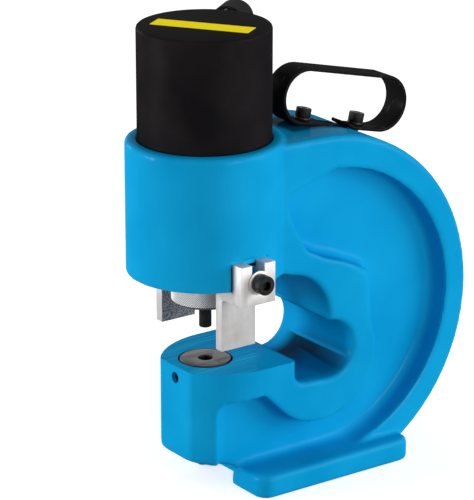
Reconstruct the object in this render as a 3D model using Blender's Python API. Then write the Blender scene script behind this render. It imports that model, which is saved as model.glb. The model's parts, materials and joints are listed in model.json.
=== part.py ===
"""A hydraulic hole punch: a cast C-frame, a cylinder screwed into its head, and the tooling.

Metres, +Z up. The nose of the frame points to -X and the spine to +X. The origin is on the
floor, under the middle of the casting's length. "Axis" below is the upright line of the punch.
"""
import math

import bmesh
import bpy
from mathutils import Matrix, Vector

# Fits
SEAT_GAP = 0.0003
CUT_OVERRUN = 0.004
UNION_BITE = 0.001
MERGE_DISTANCE = 0.000003

# Main heights of the casting, from the floor up
FOOT_THICKNESS = 0.020
ANVIL_HEIGHT = 0.1085
MOUTH_HEIGHT = 0.0789
COLLAR_HEIGHT = 0.1126
CYLINDER_EXPOSED_HEIGHT = 0.0934

# Collar
COLLAR_RADIUS = 0.0652
COLLAR_EDGE_RADIUS = 0.0035
COLLAR_FLOOR_THICKNESS = 0.020
COLLAR_SEGMENTS = 72
COLLAR_BLEND_RADIUS = 0.015
FACING_MARGIN = 0.0038

# Arm, spine and web
ARM_FRONT_REACH = 0.011
ARM_HALF_WIDTH = 0.051
ARM_EDGE_RADIUS = 0.0035
ARM_DROP_AT_COLLAR = 0.0015
ARM_DROP_AT_CROWN = 0.0031
SPINE_DEPTH = 0.1464
SPINE_DIP_BELOW_FLOOR = 0.0121
POCKET_DEPTH = 0.021
POCKET_FLOOR_RADIUS = 0.008

# Throat
THROAT_DEPTH = 0.0915
THROAT_CEILING_DROP = 0.0029
THROAT_TOP_RADIUS = 0.044
THROAT_LOWER_RADIUS = 0.0255
ANVIL_BACK_REACH = 0.0565
ANVIL_BACK_RADIUS = 0.009
THROAT_FLOOR_RISE = 0.002

# Nose
NOSE_REACH = 0.0308
NOSE_FACET_HALF_WIDTH = 0.0218
NOSE_SIDE_RADIUS = 0.072
CHIN_RISE = 0.010

# Side pockets
SPINE_RIM_WIDTH = 0.0286
SPINE_RIM_THINNING = 0.007
POCKET_START_REACH = 0.0473
POCKET_START_DROP = 0.0475
POCKET_CROWN_REACH = 0.096
THROAT_BAND_WIDTH = 0.047
POCKET_RIDGE_SHARES = (
    (0.984, -0.138),
    (0.786, -0.020),
    (0.627, 0.050),
    (0.492, 0.137),
    (0.447, 0.224),
    (0.365, 0.426),
)
INNER_RIM_RADIUS = 0.0567
INNER_RIM_SHIFT_X = -0.007
INNER_RIM_SHIFT_Z = -0.005
ANVIL_BLOCK_DEPTH = 0.0238
POCKET_NOSE_SETBACK = 0.0188
POCKET_NOSE_DROP = 0.003

# Foot
FOOT_FRONT_REACH = 0.010
FOOT_BACK_REACH = 0.168
FOOT_HALF_WIDTH = 0.068
FOOT_CORNER_RADIUS = 0.012
FOOT_EDGE_RADIUS = 0.004
FOOT_SOLE_RADIUS = 0.002
FOOT_NOTCH_HALF_WIDTH = 0.021
FOOT_NOTCH_DEPTH = 0.015
FOOT_TIP_RADIUS = 0.005

# Cylinder
CYLINDER_RADIUS = 0.055
CYLINDER_EDGE_RADIUS = 0.0025
CYLINDER_THREAD_RADIUS = 0.052
CYLINDER_BORE_RADIUS = 0.0375
CYLINDER_HEAD_THICKNESS = 0.025
PORT_DROP = 0.0152
PORT_ANGLE = math.radians(38)
PORT_PASSAGE_RADIUS = 0.004
PORT_PASSAGE_REACH = 0.028

# Ram, piston and spring
RAM_RADIUS = 0.0225
RAM_CLEARANCE = 0.0003
RAM_THREAD_RADIUS = 0.0197
PISTON_HEIGHT = 0.024
PISTON_TOP_GAP = 0.0015
PISTON_CLEARANCE = 0.0003
SEAL_HEIGHT = 0.006
SEAL_THICKNESS = 0.0038
WEAR_RING_HEIGHT = 0.005
WEAR_RING_THICKNESS = 0.002
RING_SIDE_GAP = 0.0003
PISTON_SCREW_RADIUS = 0.006
PISTON_SCREW_HEAD_RADIUS = 0.009
PISTON_SCREW_HEAD_HEIGHT = 0.010
PISTON_SCREW_LENGTH = 0.034
SPRING_COIL_RADIUS = 0.030
SPRING_WIRE_RADIUS = 0.003
SPRING_TURNS = 6
SPRING_POINTS_PER_TURN = 12

# Rod guide
GUIDE_FLANGE_THICKNESS = 0.008
GUIDE_SPIGOT_RADIUS = 0.0297
GUIDE_SPIGOT_SETBACK = 0.002
WIPER_RADIUS = 0.0267
WIPER_HEIGHT = 0.0042

# Punch and its nut
NUT_RADIUS = 0.0283
NUT_DROP = 0.0273
NUT_TOP_GAP = 0.0014
NUT_CHAMFER = 0.0026
NUT_FLOOR_THICKNESS = 0.008
NUT_CONE_TOP_RADIUS = 0.016
NUT_CONE_MOUTH_RADIUS = 0.0123
PUNCH_RADIUS = 0.00525
PUNCH_SHOULDER_RADIUS = 0.0175
PUNCH_SHOULDER_HEIGHT = 0.006
PUNCH_REACH = 0.023
PUNCH_CONE_REACH = 0.0076
PUNCH_TIP_CHAMFER = 0.0005

# Die
DIE_RADIUS = 0.0215
DIE_HEIGHT = 0.025
DIE_PROUD = 0.0005
DIE_CLEARANCE = 0.00035
DIE_HOLE_CLEARANCE = 0.0008
DIE_RELIEF_RADIUS = 0.008
DIE_LAND_HEIGHT = 0.008
DIE_CHAMFER = 0.0006
SLUG_HOLE_RADIUS = 0.013
SET_SCREW_RADIUS = 0.0046
SET_SCREW_LENGTH = 0.0056
SET_SCREW_DROP = 0.0104
SET_SCREW_SOCKET_RADIUS = 0.0026
SET_SCREW_SOCKET_DEPTH = 0.0028

# Strippers and their screws
STRIPPER_HALF_WIDTH = 0.0168
STRIPPER_LEG_INNER_Y = 0.0391
STRIPPER_LEG_THICKNESS = 0.0082
STRIPPER_DROP = 0.0552
STRIPPER_STEP_THICKNESS = 0.0097
STRIPPER_FORK_THICKNESS = 0.0127
STRIPPER_FORK_RISE = 0.024
STRIPPER_SLOT_HALF_WIDTH = 0.0062
STRIPPER_SLOT_SPARE = 0.004
STRIPPER_INNER_FILLET = 0.004
COLLAR_FLAT_DEPTH = 0.0036
COLLAR_FLAT_SIDE_GAP = 0.0012
COLLAR_FLAT_TOP_GAP = 0.0018
CLAMP_SCREW_RISE = 0.009
CLAMP_SCREW_RADIUS = 0.0049
CLAMP_SCREW_HEAD_RADIUS = 0.008
CLAMP_SCREW_HEAD_HEIGHT = 0.010
CLAMP_SCREW_DEPTH_IN_COLLAR = 0.016
CLAMP_WASHER_RADIUS = 0.010
CLAMP_WASHER_THICKNESS = 0.0012

# Handle
HANDLE_TILT_SHY = math.radians(2.55)
HANDLE_SEAT_REACH = 0.1256
HANDLE_SEAT_DROP = 0.0027
HANDLE_SEAT_HALF_WIDTH = 0.0145
HANDLE_BOLT_SPACING = 0.0572
HANDLE_STRAP_WIDTH = 0.025
HANDLE_STRAP_THICKNESS = 0.003
HANDLE_LOOP_HEIGHT = 0.0488
HANDLE_LOOP_FRONT = 0.0620
HANDLE_LOOP_BACK = 0.0700
HANDLE_FRONT_TAB_OVERHANG = 0.021
HANDLE_REAR_TAB_OVERHANG = 0.016
HANDLE_REAR_TIP_LIFT = 0.0025
HANDLE_REAR_TIP_BEND = 0.009
HANDLE_ARC_STEPS = 14
HANDLE_BOLT_RADIUS = 0.0039
HANDLE_BOLT_HEAD_RADIUS = 0.0065
HANDLE_BOLT_HEAD_HEIGHT = 0.008
HANDLE_BOLT_GRIP = 0.016
HANDLE_WASHER_RADIUS = 0.0068
HANDLE_WASHER_THICKNESS = 0.0018
BOLT_HOLE_CLEARANCE = 0.0004

# Coupler on the oil port
NIPPLE_THREAD_RADIUS = 0.0090
NIPPLE_THREAD_LENGTH = 0.014
NIPPLE_HEX_RADIUS = 0.0138
NIPPLE_HEX_LENGTH = 0.008
NIPPLE_BARREL_RADIUS = 0.0115
NIPPLE_BARREL_LENGTH = 0.025
NIPPLE_BORE_RADIUS = 0.006
NIPPLE_SEAT_RADIUS = 0.0035
NIPPLE_SEAT_THICKNESS = 0.002
POPPET_RADIUS = 0.0056
POPPET_LENGTH = 0.012
POPPET_NOSE_RADIUS = 0.0030
POPPET_NOSE_LENGTH = 0.0035
POPPET_SPRING_COIL_RADIUS = 0.0045
POPPET_SPRING_WIRE_RADIUS = 0.0006
POPPET_SPRING_TURNS = 5
CAP_RADIUS = 0.0155
CAP_WALL = 0.0032
CAP_LENGTH = 0.035
CAP_DOME_STEPS = 6

# Shared detail of fasteners
HEX_SOCKET_DEPTH_SHARE = 0.5
HEX_SOCKET_WIDTH_SHARE = 0.52
HEX_SIDES = 6
HEX_CHAMFER_SHARE = 0.08
SMALL_SEGMENTS = 24
MEDIUM_SEGMENTS = 48
HIDDEN_SEGMENTS = 32
ARC_STEP_ANGLE = math.radians(8)
SPINE_STEP_ANGLE = math.radians(5)

# Heights and places worked out from the sizes above
COLLAR_BOTTOM = ANVIL_HEIGHT + MOUTH_HEIGHT
COLLAR_TOP = COLLAR_BOTTOM + COLLAR_HEIGHT
CYLINDER_TOP = COLLAR_TOP + CYLINDER_EXPOSED_HEIGHT
ARM_CROWN = COLLAR_TOP - ARM_DROP_AT_CROWN
SPINE_RADIUS = (ARM_CROWN + SPINE_DIP_BELOW_FLOOR) / 2
SPINE_CENTRE_Z = ARM_CROWN - SPINE_RADIUS
SPINE_CENTRE_REACH = THROAT_DEPTH + SPINE_DEPTH - SPINE_RADIUS
AXIS_X = (COLLAR_RADIUS - THROAT_DEPTH - SPINE_DEPTH) / 2
COLLAR_FLAT_Y = COLLAR_RADIUS - COLLAR_FLAT_DEPTH
COLLAR_BORE_FLOOR = COLLAR_BOTTOM + COLLAR_FLOOR_THICKNESS
CYLINDER_HEAD_UNDERSIDE = CYLINDER_TOP - CYLINDER_HEAD_THICKNESS
PORT_Z = CYLINDER_TOP - PORT_DROP
PISTON_TOP = CYLINDER_HEAD_UNDERSIDE - PISTON_TOP_GAP
PISTON_BOTTOM = PISTON_TOP - PISTON_HEIGHT
NUT_BOTTOM = COLLAR_BOTTOM - NUT_DROP
NUT_TOP = COLLAR_BOTTOM - NUT_TOP_GAP
CLAMP_SCREW_Z = COLLAR_BOTTOM + CLAMP_SCREW_RISE

BLUE_PAINT = ("blue_paint", (0.008, 0.33, 0.70), 0.35, 0.0)
BLACK_PAINT = ("black_paint", (0.012, 0.011, 0.012), 0.5, 0.0)
BLACK_OXIDE = ("black_oxide_steel", (0.015, 0.015, 0.016), 0.4, 0.8)
BRIGHT_STEEL = ("bright_steel", (0.62, 0.61, 0.60), 0.35, 1.0)
ZINC_STEEL = ("zinc_plated_steel", (0.66, 0.65, 0.64), 0.45, 0.9)
GROUND_STEEL = ("ground_steel", (0.16, 0.15, 0.15), 0.4, 0.9)
BRONZE = ("bronze", (0.55, 0.36, 0.13), 0.4, 1.0)
SEAL_RUBBER = ("seal_rubber", (0.02, 0.02, 0.022), 0.8, 0.0)
GUIDE_PLASTIC = ("guide_plastic", (0.35, 0.22, 0.10), 0.6, 0.0)


def remove_everything():
    for item in list(bpy.data.objects):
        bpy.data.objects.remove(item, do_unlink=True)


def material(finish):
    name, colour, roughness, metallic = finish
    found = bpy.data.materials.get(name)
    if found:
        return found
    made = bpy.data.materials.new(name)
    made.use_nodes = True
    shader = made.node_tree.nodes["Principled BSDF"]
    shader.inputs["Base Color"].default_value = (*colour, 1)
    shader.inputs["Roughness"].default_value = roughness
    shader.inputs["Metallic"].default_value = metallic
    made.diffuse_color = (*colour, 1)
    return made


def add_object(name, mesh_maker, finish=None):
    """Turn a finished bmesh into a named object with outward faces."""
    bmesh.ops.recalc_face_normals(mesh_maker, faces=mesh_maker.faces)
    mesh = bpy.data.meshes.new(name)
    mesh_maker.to_mesh(mesh)
    mesh_maker.free()
    made = bpy.data.objects.new(name, mesh)
    bpy.context.collection.objects.link(made)
    if finish:
        mesh.materials.append(material(finish))
    return made


def turned(name, profile, segments=MEDIUM_SEGMENTS, finish=None, closed=False):
    """Spin a profile of (radius, height) points round the Z axis."""
    shape = bmesh.new()
    points = [shape.verts.new((radius, 0, height)) for radius, height in profile]
    pairs = list(zip(points, points[1:]))
    if closed:
        pairs.append((points[-1], points[0]))
    edges = [shape.edges.new(pair) for pair in pairs]
    bmesh.ops.spin(shape, geom=points + edges, axis=(0, 0, 1), cent=(0, 0, 0),
                   angle=math.tau, steps=segments, use_merge=True)
    bmesh.ops.remove_doubles(shape, verts=shape.verts, dist=MERGE_DISTANCE)
    return add_object(name, shape, finish)


def disc(name, radius, low, high, segments=MEDIUM_SEGMENTS, finish=None):
    return turned(name, [(0, low), (radius, low), (radius, high), (0, high)], segments, finish)


def ring(name, inner, outer, low, high, segments=MEDIUM_SEGMENTS, finish=None):
    profile = [(inner, low), (outer, low), (outer, high), (inner, high)]
    return turned(name, profile, segments, finish, closed=True)


def prism(name, outline, low, high, across="Z", finish=None):
    """Extrude an outline. Across Y the outline is (x, z), and across Z it is (x, y)."""
    shape = bmesh.new()
    if across == "Y":
        points = [shape.verts.new((x, low, z)) for x, z in outline]
        travel = Vector((0, high - low, 0))
    else:
        points = [shape.verts.new((x, y, low)) for x, y in outline]
        travel = Vector((0, 0, high - low))
    face = shape.faces.new(points)
    grown = bmesh.ops.extrude_face_region(shape, geom=[face])
    moved = [item for item in grown["geom"] if isinstance(item, bmesh.types.BMVert)]
    bmesh.ops.translate(shape, verts=moved, vec=travel)
    return add_object(name, shape, finish)


def block(name, low, high, finish=None):
    outline = [(low[0], low[1]), (high[0], low[1]), (high[0], high[1]), (low[0], high[1])]
    return prism(name, outline, low[2], high[2], "Z", finish)


def hex_prism(name, circle_radius, low, high):
    outline = [(circle_radius * math.cos(math.tau * side / HEX_SIDES),
                circle_radius * math.sin(math.tau * side / HEX_SIDES)) for side in range(HEX_SIDES)]
    return prism(name, outline, low, high)


def bevel_edges(item, width, segments, wanted):
    """Round the edges that `wanted(edge)` picks."""
    shape = bmesh.new()
    shape.from_mesh(item.data)
    edges = [edge for edge in shape.edges if wanted(edge)]
    bmesh.ops.bevel(shape, geom=edges, offset=width, offset_type="OFFSET", affect="EDGES",
                    segments=segments, profile=0.5, material=-1, clamp_overlap=True)
    shape.to_mesh(item.data)
    shape.free()


def combine(body, tool, operation):
    """Join a tool to a body or cut it out, and keep the result as the body's own mesh."""
    modifier = body.modifiers.new(operation, "BOOLEAN")
    modifier.operation = operation
    modifier.solver = "EXACT"
    modifier.object = tool
    bpy.context.view_layer.update()
    graph = bpy.context.evaluated_depsgraph_get()
    result = bpy.data.meshes.new_from_object(body.evaluated_get(graph))
    tidied = bmesh.new()
    tidied.from_mesh(result)
    bmesh.ops.remove_doubles(tidied, verts=tidied.verts, dist=MERGE_DISTANCE)
    tidied.to_mesh(result)
    tidied.free()
    body.modifiers.clear()
    body.data = result
    bpy.data.objects.remove(tool, do_unlink=True)


def cut(body, tool):
    combine(body, tool, "DIFFERENCE")


def join(body, tool):
    combine(body, tool, "UNION")


def place(item, matrix):
    item.data.transform(matrix)
    item.data.update()


def shift_to_axis(item):
    place(item, Matrix.Translation((AXIS_X, 0, 0)))


def shade(item):
    item.data.shade_smooth()
    item.data.set_sharp_from_angle(angle=math.radians(35))


def finished(item, finish):
    """Give a piece that was shaped on the punch axis its colour, shading and place."""
    item.data.materials.clear()
    item.data.materials.append(material(finish))
    shift_to_axis(item)
    shade(item)
    return item


def arc(centre, radius, start, end, step=ARC_STEP_ANGLE):
    """Points of an arc from one angle to another, both ends included."""
    count = max(2, round(abs(end - start) / step))
    return [(centre[0] + radius * math.cos(start + (end - start) * index / count),
             centre[1] + radius * math.sin(start + (end - start) * index / count))
            for index in range(count + 1)]


def helix(name, coil_radius, wire_radius, low, high, turns, finish, points_per_turn, sides):
    """A coil spring of one unbroken wire, standing on the Z axis."""
    curve = bpy.data.curves.new(name, "CURVE")
    curve.dimensions = "3D"
    curve.bevel_depth = wire_radius
    curve.bevel_resolution = sides
    curve.use_fill_caps = True
    line = curve.splines.new("POLY")
    count = turns * points_per_turn
    line.points.add(count)
    rise = high - low - 2 * wire_radius
    for index in range(count + 1):
        angle = math.tau * index / points_per_turn
        line.points[index].co = (coil_radius * math.cos(angle), coil_radius * math.sin(angle),
                                 low + wire_radius + rise * index / count, 1)
    holder = bpy.data.objects.new(name, curve)
    bpy.context.collection.objects.link(holder)
    bpy.context.view_layer.update()
    graph = bpy.context.evaluated_depsgraph_get()
    mesh = bpy.data.meshes.new_from_object(holder.evaluated_get(graph))
    bpy.data.objects.remove(holder, do_unlink=True)
    shape = bmesh.new()
    shape.from_mesh(mesh)
    bmesh.ops.remove_doubles(shape, verts=shape.verts, dist=MERGE_DISTANCE)
    return add_object(name, shape, finish)


def cap_screw(name, radius, head_radius, head_height, length, finish):
    """A socket head cap screw along Z: the head stands above zero, the shank hangs below."""
    rim = head_height * HEX_CHAMFER_SHARE
    profile = [(0, -length), (radius - rim, -length), (radius, -length + rim), (radius, 0),
               (head_radius, 0), (head_radius, head_height - rim),
               (head_radius - rim, head_height), (0, head_height)]
    screw = turned(name, profile, SMALL_SEGMENTS, finish)
    socket = hex_prism("socket", head_radius * HEX_SOCKET_WIDTH_SHARE,
                       head_height * (1 - HEX_SOCKET_DEPTH_SHARE), head_height + CUT_OVERRUN)
    cut(screw, socket)
    return screw


def c_frame_outline():
    """The side view of the casting without its foot, as (x, z) from the punch axis."""
    spine_centre = (SPINE_CENTRE_REACH, SPINE_CENTRE_Z)
    heel_z = FOOT_THICKNESS / 2
    heel_angle = math.asin((heel_z - SPINE_CENTRE_Z) / SPINE_RADIUS)
    outline = [(ARM_FRONT_REACH, COLLAR_TOP - ARM_DROP_AT_COLLAR)]
    outline += arc(spine_centre, SPINE_RADIUS, math.pi / 2, heel_angle, SPINE_STEP_ANGLE)
    notch_back = FOOT_FRONT_REACH + FOOT_NOTCH_DEPTH
    belly_z = FOOT_THICKNESS - UNION_BITE
    outline.append((notch_back + UNION_BITE, heel_z))
    outline.append((notch_back + UNION_BITE, belly_z))
    outline.append((FOOT_FRONT_REACH, belly_z))
    outline.append((-NOSE_REACH, belly_z + CHIN_RISE))
    outline.append((-NOSE_REACH, ANVIL_HEIGHT))
    outline.append((ANVIL_BACK_REACH, ANVIL_HEIGHT))
    bulge_centre = throat_bulge_centre()
    floor_z = bulge_centre[1] - THROAT_LOWER_RADIUS
    outline += arc((ANVIL_BACK_REACH + ANVIL_BACK_RADIUS, floor_z + THROAT_FLOOR_RISE + ANVIL_BACK_RADIUS),
                   ANVIL_BACK_RADIUS, math.pi, math.pi * 3 / 2)
    outline += arc(bulge_centre, THROAT_LOWER_RADIUS, -math.pi / 2, math.pi / 2)
    ceiling_z = COLLAR_BOTTOM - THROAT_CEILING_DROP
    top_centre = (THROAT_DEPTH - THROAT_TOP_RADIUS, ceiling_z - THROAT_TOP_RADIUS)
    outline += arc(top_centre, THROAT_TOP_RADIUS, 0, math.pi / 2)
    outline.append((ARM_FRONT_REACH, ceiling_z))
    return outline


def throat_bulge_centre():
    ridge_z = COLLAR_BOTTOM - THROAT_CEILING_DROP - THROAT_TOP_RADIUS
    return (THROAT_DEPTH - UNION_BITE / 2, ridge_z - UNION_BITE * 4 - THROAT_LOWER_RADIUS)


def pocket_outline():
    """The recess in each side of the web, as (x, z) from the punch axis."""
    centre = (SPINE_CENTRE_REACH + SPINE_RIM_THINNING, SPINE_CENTRE_Z)
    radius = SPINE_RADIUS - SPINE_RIM_WIDTH
    crown_angle = math.acos((POCKET_CROWN_REACH - centre[0]) / radius)
    bottom_z = centre[1] - radius
    back_reach = THROAT_DEPTH + THROAT_BAND_WIDTH
    outline = [(POCKET_START_REACH, COLLAR_TOP - POCKET_START_DROP)]
    outline += arc(centre, radius, crown_angle, -math.pi / 2)
    nose_end = POCKET_NOSE_SETBACK - NOSE_REACH
    block_z = ANVIL_HEIGHT - ANVIL_BLOCK_DEPTH
    outline.append((nose_end, bottom_z))
    outline.append((nose_end, block_z - POCKET_NOSE_DROP - ARM_EDGE_RADIUS))
    outline.append((nose_end + ARM_EDGE_RADIUS, block_z - POCKET_NOSE_DROP))
    bulge = throat_bulge_centre()
    rim_centre = (bulge[0] + INNER_RIM_SHIFT_X, bulge[1] + INNER_RIM_SHIFT_Z)
    rim_start = math.acos((back_reach - rim_centre[0]) / INNER_RIM_RADIUS)
    rim_end = -math.pi + math.asin((rim_centre[1] - block_z + INNER_RIM_RADIUS / 3) / INNER_RIM_RADIUS)
    rim = arc(rim_centre, INNER_RIM_RADIUS, rim_end, rim_start)
    outline.append(((nose_end + 2 * rim[0][0]) / 3, block_z))
    outline += rim
    outline += [(back_reach * along, COLLAR_BOTTOM + COLLAR_HEIGHT * up)
                for along, up in POCKET_RIDGE_SHARES]
    return outline


def on_side_face(edge):
    """True for the cast edges of the two broad faces. The milled anvil keeps its sharp edges."""
    first, second = edge.verts
    level = abs(first.co.y - second.co.y) < SEAT_GAP
    milled = max(abs(first.co.z - ANVIL_HEIGHT), abs(second.co.z - ANVIL_HEIGHT)) < SEAT_GAP
    return level and not milled and abs(abs(first.co.y) - ARM_HALF_WIDTH) < SEAT_GAP


def nose_cutter(side):
    """The stock that leaves a nose rounded in plan, on one side."""
    centre_x = -NOSE_REACH + math.sqrt(
        NOSE_SIDE_RADIUS ** 2 - (NOSE_SIDE_RADIUS - ARM_HALF_WIDTH + NOSE_FACET_HALF_WIDTH) ** 2)
    centre_y = ARM_HALF_WIDTH - NOSE_SIDE_RADIUS
    start = math.pi - math.asin((NOSE_FACET_HALF_WIDTH - centre_y) / NOSE_SIDE_RADIUS)
    curve = arc((centre_x, centre_y), NOSE_SIDE_RADIUS, start, math.pi / 2)
    outside = ARM_HALF_WIDTH + CUT_OVERRUN
    front = -NOSE_REACH - CUT_OVERRUN
    outline = curve + [(centre_x, outside), (front, outside), (front, NOSE_FACET_HALF_WIDTH)]
    mid_mouth = ANVIL_HEIGHT + MOUTH_HEIGHT / 2
    return prism("nose_cutter", [(x, y * side) for x, y in outline], -CUT_OVERRUN, mid_mouth)


def foot_plate():
    """The foot: a plate with round corners and a wide notch at its front."""
    half = FOOT_HALF_WIDTH
    notch = FOOT_NOTCH_HALF_WIDTH
    front = FOOT_FRONT_REACH
    back = FOOT_BACK_REACH
    corner = FOOT_CORNER_RADIUS
    tip = FOOT_TIP_RADIUS
    right = arc((back - corner, half - corner), corner, 0, math.pi / 2)
    right += arc((front + corner, half - corner), corner, math.pi / 2, math.pi)
    right += arc((front + tip, notch + tip), tip, math.pi, math.pi * 3 / 2)
    right += arc((front + FOOT_NOTCH_DEPTH - tip, notch - tip), tip, math.pi / 2, 0)
    left = [(x, -y) for x, y in reversed(right)]
    plate = prism("foot", right + left, 0, FOOT_THICKNESS)
    bevel_edges(plate, FOOT_EDGE_RADIUS, 2,
                lambda edge: all(abs(vert.co.z - FOOT_THICKNESS) < SEAT_GAP for vert in edge.verts))
    bevel_edges(plate, FOOT_SOLE_RADIUS, 1,
                lambda edge: all(abs(vert.co.z) < SEAT_GAP for vert in edge.verts))
    return plate


def collar_blend(side):
    """The soft corner between the round collar and the flat side of the arm."""
    reach = COLLAR_RADIUS + COLLAR_BLEND_RADIUS - SEAT_GAP
    offset = ARM_HALF_WIDTH + COLLAR_BLEND_RADIUS - SEAT_GAP
    centre = (math.sqrt(reach ** 2 - offset ** 2), offset)
    to_collar = math.pi + math.asin(offset / reach)
    curve = arc(centre, COLLAR_BLEND_RADIUS, to_collar, math.pi * 3 / 2)
    inside = Vector(curve[0]) / 2
    outline = curve + [(centre[0], inside.y), (inside.x, inside.y)]
    return prism("blend", [(x, y * side) for x, y in outline],
                 COLLAR_BOTTOM - UNION_BITE / 2, COLLAR_TOP - COLLAR_EDGE_RADIUS)


def handle_frame():
    """Local axes of the handle's seat: X runs back along the seat and Z stands off it."""
    spine_angle = math.asin((HANDLE_SEAT_REACH - SPINE_CENTRE_REACH) / SPINE_RADIUS)
    seat_height = SPINE_CENTRE_Z + SPINE_RADIUS * math.cos(spine_angle) - HANDLE_SEAT_DROP
    return (Matrix.Translation((HANDLE_SEAT_REACH, 0, seat_height))
            @ Matrix.Rotation(spine_angle - HANDLE_TILT_SHY, 4, "Y"))


def make_frame():
    body = prism("frame", c_frame_outline(), -ARM_HALF_WIDTH, ARM_HALF_WIDTH, "Y")
    bevel_edges(body, ARM_EDGE_RADIUS, 2, on_side_face)
    for side in (-1, 1):
        near, far = sorted((side * (ARM_HALF_WIDTH - POCKET_DEPTH), side * (ARM_HALF_WIDTH + CUT_OVERRUN)))
        pocket = prism("pocket", pocket_outline(), near, far, "Y")
        floor_y = side * (ARM_HALF_WIDTH - POCKET_DEPTH)
        bevel_edges(pocket, POCKET_FLOOR_RADIUS, 2,
                    lambda edge: all(abs(vert.co.y - floor_y) < SEAT_GAP for vert in edge.verts))
        cut(body, pocket)
        cut(body, nose_cutter(side))
    collar_low = COLLAR_BOTTOM - UNION_BITE
    edge_arc = arc((COLLAR_RADIUS - COLLAR_EDGE_RADIUS, COLLAR_TOP - COLLAR_EDGE_RADIUS),
                   COLLAR_EDGE_RADIUS, 0, math.pi / 2, math.radians(30))
    join(body, turned("collar", [(0, collar_low), (COLLAR_RADIUS, collar_low)] + edge_arc
                      + [(0, COLLAR_TOP)], COLLAR_SEGMENTS))
    for side in (-1, 1):
        join(body, collar_blend(side))
    cut(body, disc("facing", COLLAR_RADIUS + FACING_MARGIN, COLLAR_BOTTOM - THROAT_TOP_RADIUS / 3,
                   COLLAR_BOTTOM))
    join(body, foot_plate())
    return cut_frame_holes(body)


def cut_frame_holes(body):
    bore = CYLINDER_THREAD_RADIUS + SEAT_GAP
    guide_hole = GUIDE_SPIGOT_RADIUS + SEAT_GAP
    cut(body, turned("collar_bore", [(0, COLLAR_BOTTOM - CUT_OVERRUN), (guide_hole, COLLAR_BOTTOM - CUT_OVERRUN),
                                     (guide_hole, COLLAR_BORE_FLOOR), (bore, COLLAR_BORE_FLOOR),
                                     (bore, COLLAR_TOP + CUT_OVERRUN), (0, COLLAR_TOP + CUT_OVERRUN)]))
    die_floor = ANVIL_HEIGHT + DIE_PROUD - DIE_HEIGHT - SEAT_GAP
    cut(body, disc("die_seat", DIE_RADIUS + DIE_CLEARANCE, die_floor, ANVIL_HEIGHT + CUT_OVERRUN))
    cut(body, disc("slug_hole", SLUG_HOLE_RADIUS, -CUT_OVERRUN, ANVIL_HEIGHT, SMALL_SEGMENTS))
    screw_hole = disc("screw_hole", SET_SCREW_RADIUS + SEAT_GAP, 0, NOSE_REACH + CUT_OVERRUN, SMALL_SEGMENTS)
    place(screw_hole, Matrix.Translation((0, 0, ANVIL_HEIGHT - SET_SCREW_DROP))
          @ Matrix.Rotation(-math.pi / 2, 4, "Y"))
    cut(body, screw_hole)
    flat_half = STRIPPER_HALF_WIDTH + COLLAR_FLAT_SIDE_GAP
    flat_top = COLLAR_BOTTOM + STRIPPER_FORK_RISE + COLLAR_FLAT_TOP_GAP
    clamp_depth = COLLAR_FLAT_Y - CLAMP_SCREW_DEPTH_IN_COLLAR - UNION_BITE
    for side in (-1, 1):
        near, far = sorted((side * COLLAR_FLAT_Y, side * (COLLAR_RADIUS + CUT_OVERRUN)))
        cut(body, block("flat", (-flat_half, near, COLLAR_BOTTOM - CUT_OVERRUN), (flat_half, far, flat_top)))
        hole = disc("clamp_hole", CLAMP_SCREW_RADIUS + BOLT_HOLE_CLEARANCE, clamp_depth,
                    COLLAR_RADIUS + CUT_OVERRUN, SMALL_SEGMENTS)
        place(hole, Matrix.Translation((0, 0, CLAMP_SCREW_Z)) @ Matrix.Rotation(-side * math.pi / 2, 4, "X"))
        cut(body, hole)
    half_seat = HANDLE_BOLT_SPACING / 2 + HANDLE_REAR_TAB_OVERHANG
    seat = block("seat", (-half_seat, -HANDLE_SEAT_HALF_WIDTH, 0), (half_seat, HANDLE_SEAT_HALF_WIDTH, half_seat))
    place(seat, handle_frame())
    cut(body, seat)
    for shift in (-HANDLE_BOLT_SPACING / 2, HANDLE_BOLT_SPACING / 2):
        hole = disc("bolt_hole", HANDLE_BOLT_RADIUS + BOLT_HOLE_CLEARANCE,
                    -HANDLE_BOLT_GRIP - UNION_BITE, CUT_OVERRUN, SMALL_SEGMENTS)
        place(hole, handle_frame() @ Matrix.Translation((shift, 0, 0)))
        cut(body, hole)
    return finished(body, BLUE_PAINT)


def port_matrix():
    """Local axes of the oil port: Z runs outwards from the punch axis."""
    return (Matrix.Translation((0, 0, PORT_Z)) @ Matrix.Rotation(PORT_ANGLE, 4, "Z")
            @ Matrix.Rotation(math.pi / 2, 4, "Y"))


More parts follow.
